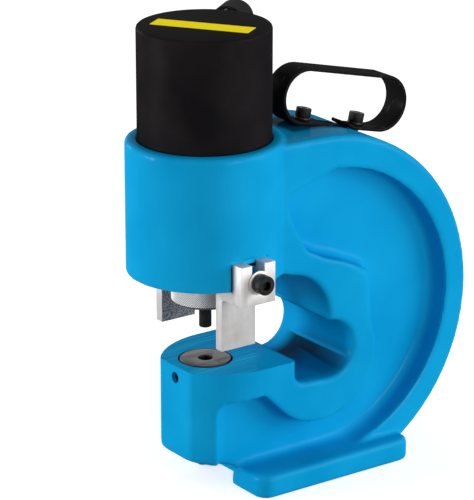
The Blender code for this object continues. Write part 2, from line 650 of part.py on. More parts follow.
def make_cylinder_body():
    bottom = COLLAR_BORE_FLOOR + SEAT_GAP
    shoulder = COLLAR_TOP + SEAT_GAP
    edge = arc((CYLINDER_RADIUS - CYLINDER_EDGE_RADIUS, CYLINDER_TOP - CYLINDER_EDGE_RADIUS),
               CYLINDER_EDGE_RADIUS, 0, math.pi / 2, math.radians(30))
    profile = [(0, CYLINDER_HEAD_UNDERSIDE), (CYLINDER_BORE_RADIUS, CYLINDER_HEAD_UNDERSIDE),
               (CYLINDER_BORE_RADIUS, bottom), (CYLINDER_THREAD_RADIUS, bottom),
               (CYLINDER_THREAD_RADIUS, shoulder), (CYLINDER_RADIUS, shoulder)]
    profile += edge + [(0, CYLINDER_TOP)]
    body = turned("cylinder_body", profile, COLLAR_SEGMENTS)
    port = disc("port", NIPPLE_THREAD_RADIUS + SEAT_GAP, PORT_PASSAGE_REACH - PORT_PASSAGE_RADIUS * 2,
                CYLINDER_RADIUS + CUT_OVERRUN, SMALL_SEGMENTS)
    place(port, port_matrix())
    cut(body, port)
    passage = disc("passage", PORT_PASSAGE_RADIUS, CYLINDER_HEAD_UNDERSIDE - CUT_OVERRUN, PORT_Z,
                   SMALL_SEGMENTS)
    place(passage, Matrix.Translation((PORT_PASSAGE_REACH * math.cos(PORT_ANGLE),
                                       PORT_PASSAGE_REACH * math.sin(PORT_ANGLE), 0)))
    cut(body, passage)
    return finished(body, BLACK_PAINT)


def ring_groove(piston_radius, depth, height, middle):
    profile_low = middle - height / 2 - RING_SIDE_GAP
    profile_high = middle + height / 2 + RING_SIDE_GAP
    bottom = piston_radius - depth - RING_SIDE_GAP
    return [(piston_radius, profile_low), (bottom, profile_low), (bottom, profile_high),
            (piston_radius, profile_high)]


def make_piston_set():
    radius = CYLINDER_BORE_RADIUS - PISTON_CLEARANCE
    wear_middle = PISTON_BOTTOM + PISTON_HEIGHT / 4
    seal_middle = PISTON_TOP - PISTON_HEIGHT / 4
    hole = PISTON_SCREW_RADIUS + SEAT_GAP
    recess = PISTON_SCREW_HEAD_RADIUS + SEAT_GAP * 2
    recess_floor = PISTON_TOP - PISTON_SCREW_HEAD_HEIGHT - UNION_BITE
    profile = [(hole, PISTON_BOTTOM), (radius, PISTON_BOTTOM)]
    profile += ring_groove(radius, WEAR_RING_THICKNESS, WEAR_RING_HEIGHT, wear_middle)
    profile += ring_groove(radius, SEAL_THICKNESS, SEAL_HEIGHT, seal_middle)
    profile += [(radius, PISTON_TOP), (recess, PISTON_TOP), (recess, recess_floor), (hole, recess_floor)]
    finished(turned("piston", profile, HIDDEN_SEGMENTS, closed=True), BRIGHT_STEEL)
    for name, thickness, height, middle, finish in (
            ("piston_seal", SEAL_THICKNESS, SEAL_HEIGHT, seal_middle, SEAL_RUBBER),
            ("piston_wear_ring", WEAR_RING_THICKNESS, WEAR_RING_HEIGHT, wear_middle, GUIDE_PLASTIC)):
        finished(ring(name, radius - thickness, radius, middle - height / 2, middle + height / 2,
                      HIDDEN_SEGMENTS), finish)
    screw = cap_screw("piston_screw", PISTON_SCREW_RADIUS, PISTON_SCREW_HEAD_RADIUS,
                      PISTON_SCREW_HEAD_HEIGHT, PISTON_SCREW_LENGTH, BLACK_OXIDE)
    place(screw, Matrix.Translation((0, 0, recess_floor + SEAT_GAP)))
    finished(screw, BLACK_OXIDE)
    make_ram(hole, recess_floor)


def make_ram(screw_hole_radius, screw_seat):
    top = PISTON_BOTTOM - SEAT_GAP
    thread_top = NUT_TOP + SEAT_GAP
    bottom = NUT_BOTTOM + NUT_FLOOR_THICKNESS + PUNCH_SHOULDER_HEIGHT + SEAT_GAP * 2
    hole_floor = screw_seat - PISTON_SCREW_LENGTH - UNION_BITE
    profile = [(0, bottom), (RAM_THREAD_RADIUS, bottom), (RAM_THREAD_RADIUS, thread_top),
               (RAM_RADIUS, thread_top), (RAM_RADIUS, top), (screw_hole_radius, top),
               (screw_hole_radius, hole_floor), (0, hole_floor)]
    finished(turned("ram", profile, HIDDEN_SEGMENTS), BRIGHT_STEEL)


def make_return_spring():
    low = COLLAR_BORE_FLOOR + SEAT_GAP * 2 + GUIDE_FLANGE_THICKNESS
    spring = helix("return_spring", SPRING_COIL_RADIUS, SPRING_WIRE_RADIUS, low, PISTON_BOTTOM - SEAT_GAP,
                   SPRING_TURNS, BLACK_OXIDE, SPRING_POINTS_PER_TURN, 1)
    finished(spring, BLACK_OXIDE)


def make_rod_guide():
    bore = RAM_RADIUS + RAM_CLEARANCE
    bottom = COLLAR_BOTTOM + GUIDE_SPIGOT_SETBACK
    flange_low = COLLAR_BORE_FLOOR + SEAT_GAP
    flange_high = flange_low + GUIDE_FLANGE_THICKNESS
    flange_radius = CYLINDER_BORE_RADIUS - SEAT_GAP * 2
    wiper_room = WIPER_RADIUS + SEAT_GAP
    wiper_top = bottom + WIPER_HEIGHT + SEAT_GAP
    profile = [(wiper_room, bottom), (GUIDE_SPIGOT_RADIUS, bottom), (GUIDE_SPIGOT_RADIUS, flange_low),
               (flange_radius, flange_low), (flange_radius, flange_high), (bore, flange_high),
               (bore, wiper_top), (wiper_room, wiper_top)]
    finished(turned("rod_guide", profile, HIDDEN_SEGMENTS, closed=True), BRONZE)
    finished(ring("rod_wiper", bore, WIPER_RADIUS, bottom, bottom + WIPER_HEIGHT, HIDDEN_SEGMENTS), SEAL_RUBBER)


def make_punch_nut():
    bore = RAM_THREAD_RADIUS + RAM_CLEARANCE
    floor_top = NUT_BOTTOM + NUT_FLOOR_THICKNESS
    profile = [(NUT_CONE_MOUTH_RADIUS, NUT_BOTTOM), (NUT_RADIUS - NUT_CHAMFER, NUT_BOTTOM),
               (NUT_RADIUS, NUT_BOTTOM + NUT_CHAMFER), (NUT_RADIUS, NUT_TOP - NUT_CHAMFER),
               (NUT_RADIUS - NUT_CHAMFER, NUT_TOP), (bore, NUT_TOP), (bore, floor_top),
               (NUT_CONE_TOP_RADIUS, floor_top)]
    finished(turned("punch_nut", profile, closed=True), BRIGHT_STEEL)


def make_punch():
    floor_top = NUT_BOTTOM + NUT_FLOOR_THICKNESS
    shoulder_low = floor_top + SEAT_GAP
    tip = NUT_BOTTOM - PUNCH_REACH
    cone_run = (NUT_CONE_TOP_RADIUS - NUT_CONE_MOUTH_RADIUS) / NUT_FLOOR_THICKNESS
    neck_radius = NUT_CONE_TOP_RADIUS - SEAT_GAP * 2
    mouth_radius = neck_radius - cone_run * NUT_FLOOR_THICKNESS
    profile = [(0, tip), (PUNCH_RADIUS - PUNCH_TIP_CHAMFER, tip), (PUNCH_RADIUS, tip + PUNCH_TIP_CHAMFER),
               (PUNCH_RADIUS, NUT_BOTTOM - PUNCH_CONE_REACH), (mouth_radius, NUT_BOTTOM),
               (neck_radius, shoulder_low), (PUNCH_SHOULDER_RADIUS, shoulder_low),
               (PUNCH_SHOULDER_RADIUS, shoulder_low + PUNCH_SHOULDER_HEIGHT),
               (0, shoulder_low + PUNCH_SHOULDER_HEIGHT)]
    finished(turned("punch", profile, SMALL_SEGMENTS), BLACK_OXIDE)


def make_die():
    top = ANVIL_HEIGHT + DIE_PROUD
    bottom = top - DIE_HEIGHT
    hole = PUNCH_RADIUS + DIE_HOLE_CLEARANCE
    land_low = top - DIE_LAND_HEIGHT
    profile = [(DIE_RELIEF_RADIUS, bottom), (DIE_RADIUS - DIE_CHAMFER, bottom),
               (DIE_RADIUS, bottom + DIE_CHAMFER), (DIE_RADIUS, top - DIE_CHAMFER),
               (DIE_RADIUS - DIE_CHAMFER, top), (hole, top), (hole, land_low),
               (DIE_RELIEF_RADIUS, land_low - (DIE_RELIEF_RADIUS - hole))]
    finished(turned("die", profile, closed=True), GROUND_STEEL)
    screw_low = DIE_RADIUS + SEAT_GAP
    screw = disc("die_set_screw", SET_SCREW_RADIUS, screw_low, screw_low + SET_SCREW_LENGTH,
                 SMALL_SEGMENTS)
    cut(screw, hex_prism("socket", SET_SCREW_SOCKET_RADIUS,
                         screw_low + SET_SCREW_LENGTH - SET_SCREW_SOCKET_DEPTH,
                         screw_low + SET_SCREW_LENGTH + CUT_OVERRUN))
    place(screw, Matrix.Translation((0, 0, ANVIL_HEIGHT - SET_SCREW_DROP))
          @ Matrix.Rotation(-math.pi / 2, 4, "Y"))
    finished(screw, BLACK_OXIDE)


def stripper_side_outline():
    """One stripper seen along X, as (distance from the punch axis, height)."""
    top_of_step = COLLAR_BOTTOM - SEAT_GAP
    step_low = top_of_step - STRIPPER_STEP_THICKNESS
    fork_inner = COLLAR_FLAT_Y + SEAT_GAP
    fork_outer = fork_inner + STRIPPER_FORK_THICKNESS
    leg_inner = STRIPPER_LEG_INNER_Y
    leg_outer = leg_inner + STRIPPER_LEG_THICKNESS
    fillet = STRIPPER_INNER_FILLET
    outline = [(leg_inner, COLLAR_BOTTOM - STRIPPER_DROP), (leg_outer, COLLAR_BOTTOM - STRIPPER_DROP)]
    outline += arc((leg_outer + fillet, step_low - fillet), fillet, math.pi, math.pi / 2,
                   math.radians(30))
    outline += [(fork_outer, step_low), (fork_outer, COLLAR_BOTTOM + STRIPPER_FORK_RISE),
                (fork_inner, COLLAR_BOTTOM + STRIPPER_FORK_RISE), (fork_inner, top_of_step),
                (leg_inner, top_of_step)]
    return outline


def make_stripper(name, side):
    """A Z-shaped plate whose upper fork straddles a clamp screw on the collar."""
    profile = stripper_side_outline()
    plate = prism(name, [(-height, reach) for reach, height in profile],
                  -STRIPPER_HALF_WIDTH, STRIPPER_HALF_WIDTH)
    place(plate, Matrix.Rotation(math.pi / 2, 4, "Y"))
    slot_middle = CLAMP_SCREW_Z - STRIPPER_SLOT_SPARE
    half = STRIPPER_SLOT_HALF_WIDTH
    slot_outline = [(half, COLLAR_BOTTOM + STRIPPER_FORK_RISE + CUT_OVERRUN)]
    slot_outline += arc((0, slot_middle), half, 0, -math.pi, math.radians(22.5))
    slot_outline.append((-half, COLLAR_BOTTOM + STRIPPER_FORK_RISE + CUT_OVERRUN))
    slot_low = COLLAR_FLAT_Y - CUT_OVERRUN
    slot_high = COLLAR_FLAT_Y + STRIPPER_FORK_THICKNESS + CUT_OVERRUN
    cut(plate, prism("slot", slot_outline, slot_low, slot_high, "Y"))
    if side < 0:
        place(plate, Matrix.Rotation(math.pi, 4, "Z"))
    finished(plate, ZINC_STEEL)


def make_clamp_screw(label, side):
    seat = COLLAR_FLAT_Y + STRIPPER_FORK_THICKNESS + SEAT_GAP * 2
    outwards = Matrix.Translation((0, 0, CLAMP_SCREW_Z)) @ Matrix.Rotation(-side * math.pi / 2, 4, "X")
    washer = ring("stripper_washer_" + label, CLAMP_SCREW_RADIUS + BOLT_HOLE_CLEARANCE,
                  CLAMP_WASHER_RADIUS, seat, seat + CLAMP_WASHER_THICKNESS, SMALL_SEGMENTS)
    place(washer, outwards)
    finished(washer, ZINC_STEEL)
    head_seat = seat + CLAMP_WASHER_THICKNESS + SEAT_GAP
    length = head_seat - COLLAR_FLAT_Y + CLAMP_SCREW_DEPTH_IN_COLLAR
    screw = cap_screw("stripper_screw_" + label, CLAMP_SCREW_RADIUS, CLAMP_SCREW_HEAD_RADIUS,
                      CLAMP_SCREW_HEAD_HEIGHT, length, BLACK_OXIDE)
    place(screw, outwards @ Matrix.Translation((0, 0, head_seat)))
    finished(screw, BLACK_OXIDE)


def handle_strap_outline():
    """The bent strap seen along Y: out along one tab, round the loop and back along the other."""
    outer = HANDLE_LOOP_HEIGHT / 2
    inner = outer - HANDLE_STRAP_THICKNESS
    front = -HANDLE_LOOP_FRONT + outer
    back = HANDLE_LOOP_BACK - outer
    front_end = -HANDLE_BOLT_SPACING / 2 + HANDLE_FRONT_TAB_OVERHANG
    back_end = HANDLE_BOLT_SPACING / 2 - HANDLE_REAR_TAB_OVERHANG
    back_bend = HANDLE_BOLT_SPACING / 2 - HANDLE_REAR_TIP_BEND
    step = math.pi / HANDLE_ARC_STEPS
    outline = [(front_end, SEAT_GAP)]
    outline += arc((front, outer + SEAT_GAP), outer, -math.pi / 2, -math.pi * 3 / 2, step)
    outline += arc((back, outer + SEAT_GAP), outer, math.pi / 2, -math.pi / 2, step)
    tip_low = SEAT_GAP + HANDLE_REAR_TIP_LIFT
    outline += [(back_bend, SEAT_GAP), (back_end, tip_low), (back_end, tip_low + HANDLE_STRAP_THICKNESS),
                (back_bend, SEAT_GAP + HANDLE_STRAP_THICKNESS)]
    outline += arc((back, outer + SEAT_GAP), inner, -math.pi / 2, math.pi / 2, step)
    outline += arc((front, outer + SEAT_GAP), inner, math.pi / 2, math.pi * 3 / 2, step)
    outline.append((front_end, SEAT_GAP + HANDLE_STRAP_THICKNESS))
    return outline


def make_handle():
    strap = prism("handle_strap", handle_strap_outline(), -HANDLE_STRAP_WIDTH / 2,
                  HANDLE_STRAP_WIDTH / 2, "Y")
    place(strap, handle_frame())
    washer_low = SEAT_GAP * 2 + HANDLE_STRAP_THICKNESS
    head_low = washer_low + HANDLE_WASHER_THICKNESS + SEAT_GAP
    for label, shift in (("front", -HANDLE_BOLT_SPACING / 2), ("rear", HANDLE_BOLT_SPACING / 2)):
        spot = handle_frame() @ Matrix.Translation((shift, 0, 0))
        hole = disc("strap_hole", HANDLE_BOLT_RADIUS + BOLT_HOLE_CLEARANCE, -CUT_OVERRUN,
                    HANDLE_STRAP_THICKNESS + CUT_OVERRUN, SMALL_SEGMENTS)
        place(hole, spot)
        cut(strap, hole)
        washer = ring("handle_washer_" + label, HANDLE_BOLT_RADIUS + BOLT_HOLE_CLEARANCE,
                      HANDLE_WASHER_RADIUS, washer_low, washer_low + HANDLE_WASHER_THICKNESS, SMALL_SEGMENTS)
        place(washer, spot)
        finished(washer, BLACK_OXIDE)
        bolt = cap_screw("handle_bolt_" + label, HANDLE_BOLT_RADIUS, HANDLE_BOLT_HEAD_RADIUS,
                         HANDLE_BOLT_HEAD_HEIGHT, head_low + HANDLE_BOLT_GRIP, BLACK_OXIDE)
        place(bolt, spot @ Matrix.Translation((0, 0, head_low)))
        finished(bolt, BLACK_OXIDE)
    finished(strap, BLACK_PAINT)


def make_coupler():
    """The male half coupler in the oil port, its check valve, and the rubber dust cap."""
    hex_low = CYLINDER_RADIUS + SEAT_GAP
    hex_high = hex_low + NIPPLE_HEX_LENGTH
    tip = hex_high + NIPPLE_BARREL_LENGTH
    thread_low = hex_low - NIPPLE_THREAD_LENGTH
    seat_low = tip - NIPPLE_SEAT_THICKNESS
    profile = [(NIPPLE_SEAT_RADIUS, thread_low), (NIPPLE_THREAD_RADIUS, thread_low),
               (NIPPLE_THREAD_RADIUS, hex_low), (NIPPLE_BARREL_RADIUS, hex_low),
               (NIPPLE_BARREL_RADIUS, tip), (NIPPLE_SEAT_RADIUS, tip),
               (NIPPLE_SEAT_RADIUS, seat_low), (NIPPLE_BORE_RADIUS, seat_low),
               (NIPPLE_BORE_RADIUS, hex_low), (NIPPLE_SEAT_RADIUS, hex_low)]
    nipple = turned("coupler_nipple", profile, SMALL_SEGMENTS, closed=True)
    hexagon = hex_prism("hexagon", NIPPLE_HEX_RADIUS, hex_low, hex_high)
    cut(hexagon, disc("hexagon_room", NIPPLE_BARREL_RADIUS - UNION_BITE, hex_low - CUT_OVERRUN,
                      hex_high + CUT_OVERRUN, SMALL_SEGMENTS))
    join(nipple, hexagon)
    poppet_high = seat_low - SEAT_GAP
    poppet_low = poppet_high - POPPET_LENGTH
    poppet = turned("coupler_poppet", [
        (0, poppet_low), (POPPET_RADIUS, poppet_low), (POPPET_RADIUS, poppet_high),
        (POPPET_NOSE_RADIUS, poppet_high), (POPPET_NOSE_RADIUS, poppet_high + POPPET_NOSE_LENGTH),
        (0, poppet_high + POPPET_NOSE_LENGTH)], SMALL_SEGMENTS)
    spring = helix("coupler_spring", POPPET_SPRING_COIL_RADIUS, POPPET_SPRING_WIRE_RADIUS,
                   hex_low + SEAT_GAP, poppet_low - SEAT_GAP, POPPET_SPRING_TURNS, BRIGHT_STEEL,
                   SMALL_SEGMENTS // 2, 0)
    cap = dust_cap(hex_high + SEAT_GAP)
    for item, finish in ((nipple, BRIGHT_STEEL), (poppet, BRIGHT_STEEL), (spring, BRIGHT_STEEL),
                         (cap, SEAL_RUBBER)):
        place(item, port_matrix())
        finished(item, finish)


def dust_cap(low):
    inner = NIPPLE_BARREL_RADIUS + SEAT_GAP
    dome_rise = CAP_LENGTH / 4
    shoulder = low + CAP_LENGTH - dome_rise
    dome = [(CAP_RADIUS * math.cos(math.pi / 2 * index / CAP_DOME_STEPS),
             shoulder + dome_rise * math.sin(math.pi / 2 * index / CAP_DOME_STEPS))
            for index in range(CAP_DOME_STEPS)]
    cavity_top = low + NIPPLE_BARREL_LENGTH + CAP_WALL / 2
    profile = [(0, cavity_top), (inner, cavity_top), (inner, low), (CAP_RADIUS, low)]
    profile += dome + [(0, shoulder + dome_rise)]
    return turned("dust_cap", profile, HIDDEN_SEGMENTS)


def build():
    remove_everything()
    make_frame()
    make_cylinder_body()
    make_piston_set()
    make_return_spring()
    make_rod_guide()
    make_punch_nut()
    make_punch()
    make_die()
    for label, side in (("near", -1), ("far", 1)):
        make_stripper("stripper_" + label, side)
        make_clamp_screw(label, side)
    make_handle()
    make_coupler()


build()
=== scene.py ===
import json
import math

import bmesh
import bpy
from mathutils import Matrix, Vector

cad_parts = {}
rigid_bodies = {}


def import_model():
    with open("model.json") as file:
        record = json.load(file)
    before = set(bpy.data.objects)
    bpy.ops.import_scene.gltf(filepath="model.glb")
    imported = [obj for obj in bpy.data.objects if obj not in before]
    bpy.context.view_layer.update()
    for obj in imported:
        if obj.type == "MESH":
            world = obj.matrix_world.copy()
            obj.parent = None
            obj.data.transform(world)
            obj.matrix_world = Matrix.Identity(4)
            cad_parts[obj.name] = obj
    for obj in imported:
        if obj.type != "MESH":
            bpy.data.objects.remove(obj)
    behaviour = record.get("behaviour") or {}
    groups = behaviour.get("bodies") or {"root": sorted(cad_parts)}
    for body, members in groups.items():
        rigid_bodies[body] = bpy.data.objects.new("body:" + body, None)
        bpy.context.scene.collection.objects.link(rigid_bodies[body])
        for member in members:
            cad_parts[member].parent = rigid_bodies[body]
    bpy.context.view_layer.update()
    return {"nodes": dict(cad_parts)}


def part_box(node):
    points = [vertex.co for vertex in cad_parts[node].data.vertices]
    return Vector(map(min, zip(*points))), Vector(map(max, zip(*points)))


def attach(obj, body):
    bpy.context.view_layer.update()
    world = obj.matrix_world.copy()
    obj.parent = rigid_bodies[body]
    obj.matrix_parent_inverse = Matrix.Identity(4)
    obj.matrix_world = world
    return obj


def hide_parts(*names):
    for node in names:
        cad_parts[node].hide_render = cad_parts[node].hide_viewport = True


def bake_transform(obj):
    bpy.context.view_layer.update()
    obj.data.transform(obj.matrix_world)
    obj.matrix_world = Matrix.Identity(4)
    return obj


# The start
# The imported machine comes in as a fixed frame, in metres, with its punch axis upright.
for leftover in list(bpy.data.objects):
    bpy.data.objects.remove(leftover, do_unlink=True)
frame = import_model()
nodes = frame["nodes"]

# The camera
# A long lens from the front left, looking a little down. It has no shift and no blur.
# The place and the two angles were fitted to the outlines of the round parts.
camera_place = Vector((-1.32145, -1.7677, 0.9336))
camera_turn = math.radians(-35.64)
camera_dip = math.radians(18.71)
lens_length_mm = 199.76
lens_data = bpy.data.cameras.new("long_lens")
lens_data.lens = lens_length_mm
lens_data.clip_start = 0.1
lens_data.clip_end = 100
camera = bpy.data.objects.new("long_lens", lens_data)
bpy.context.scene.collection.objects.link(camera)
camera.matrix_world = (Matrix.Translation(camera_place) @ Matrix.Rotation(camera_turn, 4, "Z")
                       @ Matrix.Rotation(math.pi / 2 - camera_dip, 4, "X"))
bpy.context.scene.camera = camera

# The studio
# A plain pale floor in a white room, and four large soft lamps at a plain level.
# They stand low, at the left, front, right and back, so that the paint shows upright bands.
bpy.context.scene.view_settings.view_transform = "Standard"
floor_half_width = 14
floor_colour = (0.90, 0.90, 0.90)
floor_shade = (0.45, 0.45, 0.45)
floor_lift = 0.62
room_white = 1.0
room_glow = 0.27
lamp_aim = Vector((0, 0, 0.16))


def add_node(tree, kind, **inputs):
    """A shader node with its inputs set. A value may be another node's socket."""
    made = tree.nodes.new("ShaderNode" + kind)
    for name, value in inputs.items():
        socket = made.inputs[int(name[1:])] if name[0] == "n" and name[1:].isdigit() else made.inputs[name]
        if isinstance(value, bpy.types.NodeSocket):
            tree.links.new(value, socket)
        else:
            socket.default_value = value
    return made


def link_to_scene(name, mesh):
    made = bpy.data.objects.new(name, mesh)
    bpy.context.scene.collection.objects.link(made)
    return made


def joined(tree, operation, *values):
    """Several values brought down to one."""
    result = values[0]
    for value in values[1:]:
        step = add_node(tree, "Math", n0=result, n1=value)
        step.operation = operation
        result = step.outputs[0]
    return result


def spread(tree, value, low, high, new_low, new_high):
    """Rescale a value between two limits."""
    made = add_node(tree, "MapRange", Value=value)
    for name, limit in (("From Min", low), ("From Max", high), ("To Min", new_low), ("To Max", new_high)):
        made.inputs[name].default_value = limit
    return made.outputs[0]


def blend_colours(tree, factor, first, second):
    """A colour between two, each a tuple or another node's socket."""
    made = tree.nodes.new("ShaderNodeMix")
    made.data_type = "RGBA"
    tree.links.new(factor, made.inputs["Factor"])
    for socket, colour in ((made.inputs[6], first), (made.inputs[7], second)):
        if isinstance(colour, bpy.types.NodeSocket):
            tree.links.new(colour, socket)
        else:
            socket.default_value = (*colour, 1)
    return made.outputs[2]


room = bpy.data.worlds.new("white_room")
room.use_nodes = True
room_tree = room.node_tree
room_tree.nodes.clear()
ray = add_node(room_tree, "LightPath").outputs
seen = joined(room_tree, "MAXIMUM", ray["Is Camera Ray"], ray["Is Glossy Ray"], ray["Is Transmission Ray"])
backdrop = add_node(room_tree, "Background", Color=(1, 1, 1, 1),
                    Strength=spread(room_tree, seen, 0, 1, room_glow, room_white))
add_node(room_tree, "OutputWorld", Surface=backdrop.outputs[0])
bpy.context.scene.world = room

floor_shape = bmesh.new()
bmesh.ops.create_grid(floor_shape, x_segments=1, y_segments=1, size=floor_half_width)
floor_mesh = bpy.data.meshes.new("pale_floor")
floor_shape.to_mesh(floor_mesh)
floor_shape.free()
floor = link_to_scene("pale_floor", floor_mesh)
floor_finish = bpy.data.materials.new("pale_floor")
floor_finish.use_nodes = True
floor_tree = floor_finish.node_tree
floor_shader = floor_tree.nodes["Principled BSDF"]
floor_seen = add_node(floor_tree, "LightPath").outputs["Is Camera Ray"]
floor_tree.links.new(blend_colours(floor_tree, floor_seen, floor_shade, floor_colour),
                     floor_shader.inputs["Base Color"])
floor_tree.links.new(joined(floor_tree, "MULTIPLY", floor_seen, floor_lift),
                     floor_shader.inputs["Emission Strength"])
floor_shader.inputs["Emission Color"].default_value = (1, 1, 1, 1)
floor_shader.inputs["Roughness"].default_value = 0.9
floor_shader.inputs["Specular IOR Level"].default_value = 0.1
floor_mesh.materials.append(floor_finish)

for lamp_name, lamp_place, lamp_size, lamp_power in (
        ("left_lamp", (-2.1, 1.1, 0.45), 0.7, 40),
        ("front_lamp", (0.35, -2.55, 0.45), 0.8, 21),
        ("right_lamp", (1.8, -1.9, 0.8), 1.5, 36),
        ("back_lamp", (-0.4, 2.6, 0.8), 1.0, 14)):
    lamp_data = bpy.data.lights.new(lamp_name, "AREA")
    lamp_data.shape = "SQUARE"
    lamp_data.size = lamp_size
    lamp_data.energy = lamp_power
    lamp = bpy.data.objects.new(lamp_name, lamp_data)
    bpy.context.scene.collection.objects.link(lamp)
    lamp.location = lamp_place
    lamp.rotation_euler = (lamp_aim - Vector(lamp_place)).to_track_quat("-Z", "Y").to_euler()

# The casting
# One iron casting: collar, arm, web, spine, throat, anvil nose and foot, under bright blue paint.
# The sand-cast corners are soft. The anvil top, bores, seats and flats were milled after casting.
punch_axis_x = -0.08635
die_proud = 0.0005
anvil_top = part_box("die")[1].z - die_proud
fork_rise = 0.024
collar_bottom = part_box("stripper_near")[1].z - fork_rise
barrel_shown = 0.0934
collar_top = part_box("cylinder_body")[1].z - barrel_shown
seat_gap = 0.0003
merge_distance = 0.000003
cast_grain = 0.0019
cutter_overrun = 0.006
casting_stock = 0.006
stock_overlap_share = 0.9
boss_share = 1.5
collar_bore_radius = 0.0523
collar_floor_thickness = 0.020
collar_floor = collar_bottom + collar_floor_thickness
guide_hole_radius = 0.030
die_seat_radius = 0.0221
die_seat_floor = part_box("die")[0].z - seat_gap
die_seat_rim = 0.0006
slug_hole_radius = 0.013
set_screw_hole_radius = 0.0049
set_screw_drop = 0.0104
set_screw_height = anvil_top - set_screw_drop
nose_reach = 0.0308
nose_front = punch_axis_x - nose_reach
anvil_back_reach = 0.0565
anvil_back = punch_axis_x + anvil_back_reach
arm_half_width = 0.051
flat_reach = 0.0616
flat_half_width = 0.018
flat_rise = 0.0258
flat_top = collar_bottom + flat_rise
collar_radius = 0.0652
clamp_hole_radius = 0.0053
clamp_hole_end = 0.0446
clamp_rise = 0.009
clamp_height = collar_bottom + clamp_rise
handle_tilt = math.radians(13.3)
handle_seat_reach = 0.1256
handle_seat_drop = 0.0117
handle_seat = Vector((punch_axis_x + handle_seat_reach, 0, collar_top - handle_seat_drop))
handle_half_seat = 0.0446
handle_seat_half_width = 0.0145
handle_bolt_shift = 0.0286
handle_hole_radius = 0.0043
handle_hole_depth = 0.017
bore_steps = 96
small_hole_steps = 24
level_share = 0.99
grain_span = (0.3, 0.7)
sharp_angle = math.radians(32)


def finish_of(name, colour, roughness, metallic=0.0):
    """A new material and its node tree, shader and object-space coordinates."""
    made = bpy.data.materials.new(name)
    made.use_nodes = True
    tree = made.node_tree
    shader = tree.nodes["Principled BSDF"]
    shader.inputs["Base Color"].default_value = (*colour, 1)
    shader.inputs["Roughness"].default_value = roughness
    shader.inputs["Metallic"].default_value = metallic
    made.diffuse_color = (*colour, 1)
    return made, tree, shader, add_node(tree, "TexCoord").outputs["Object"]


def grain(tree, spot, scale, detail=3.0, stretch=(1, 1, 1), turn=(0, 0, 0)):
    """Noise at so many grains a metre, longer or shorter along each axis."""
    moved = add_node(tree, "Mapping", Vector=spot, Scale=stretch, Rotation=turn)
    return add_node(tree, "TexNoise", Vector=moved.outputs[0], Scale=scale, Detail=detail).outputs["Fac"]


def punch_distance(tree, spot):
    """How far a point lies from the punch axis, in metres."""
    centred = add_node(tree, "Mapping", Vector=spot, Location=(-punch_axis_x, 0, 0))
    flat = add_node(tree, "VectorMath", n0=centred.outputs[0], n1=(1, 1, 0))
    flat.operation = "MULTIPLY"
    reach = add_node(tree, "VectorMath", n0=flat.outputs[0])
    reach.operation = "LENGTH"
    return reach.outputs["Value"]


def tint(tree, shader, factor, first, second):
    """Colour a surface somewhere between two colours."""
    tree.links.new(blend_colours(tree, factor, first, second), shader.inputs["Base Color"])


def roughen(tree, shader, height, low, high):
    """Let the roughness wander with a grain, between two values."""
    tree.links.new(spread(tree, height, *grain_span, low, high), shader.inputs["Roughness"])


def thin_gloss(shader, weight, roughness):
    """A weak clear gloss over a matt body. All three are set on the shader itself."""
    shader.inputs["Specular IOR Level"].default_value = 0
    shader.inputs["Coat Weight"].default_value = weight
    shader.inputs["Coat Roughness"].default_value = roughness


def raise_surface(tree, shader, layers):
    """Stack bumps, each (height socket, depth in metres, strength)."""
    normal = None
    for height, depth, strength in layers:
        bump = add_node(tree, "Bump", Height=height, Distance=depth, Strength=strength)
        if normal:
            tree.links.new(normal, bump.inputs["Normal"])
        normal = bump.outputs[0]
    tree.links.new(normal, shader.inputs["Normal"])


paint_colour = (0.002, 0.322, 0.665)
paint_pale = (0.006, 0.392, 0.755)
# Painted shade for the throat's inside, a darker blue than the paint.
throat_shade_blue = (0.0, 0.20, 0.46)
# Painted shadow, a near black blue: the anvil's shadow in the pouch and the gap round the barrel's foot.
painted_shadow_blue = (0.0, 0.05, 0.10)
# Painted shade for the arm top and the handle's seat under the strap.
handle_shade_blue = (0.0, 0.055, 0.125)
shade_edge = 0.0005
shade_fade = 0.002
arch_place = (punch_axis_x + 0.0475, collar_bottom - 0.0469)
arch_reach = 0.0455
arch_front_fade = 0.012
arch_near_fade = (-0.010, 0.026)
pouch_place = (punch_axis_x + 0.0910, collar_bottom - 0.0764)
pouch_reach = 0.0270
pouch_near_fade = (0.008, 0.030)
pouch_top = anvil_top - 0.0101
throat_front = punch_axis_x + 0.0550
throat_floor = pouch_place[1] - 0.0230
shadow_near_fade = (-0.046, -0.004)
shadow_floor_fade = (-0.012, 0.016)
shadow_far_fade = (0.024, 0.040)
inner_width_fade = (0.038, 0.050)
barrel_gap_fade = (0.0560, 0.0566)
barrel_gap_floor = collar_top - 0.005
handle_shade_width_fade = (0.020, 0.027)
handle_shade_front_fade = (handle_seat.x - 0.056, handle_seat.x - 0.050)
handle_shade_back_fade = (handle_seat.x - 0.008, handle_seat.x - 0.003)
handle_shade_floor = collar_top - 0.049
handle_shade_share = 0.9
mask_edge = 0.001


def past(tree, value, start, end):
    """0 up to a place and 1 beyond it, with a fade between."""
    return spread(tree, value, start, end, 0, 1)


def short_of(tree, value, start, end):
    """1 up to a place and 0 beyond it, with a fade between."""
    return spread(tree, value, start, end, 1, 0)


def either_side(tree, value):
    """How far a value is from zero."""
    made = add_node(tree, "Math", n0=value)
    made.operation = "ABSOLUTE"
    return made.outputs[0]


def line_distance(tree, spot, line):
    """How far a point lies from a level line across the machine, in metres."""
    moved = add_node(tree, "Mapping", Vector=spot, Scale=(1, 0, 1), Location=(-line[0], 0, -line[1]))
    reach = add_node(tree, "VectorMath", n0=moved.outputs[0])
    reach.operation = "LENGTH"
    return reach.outputs["Value"]


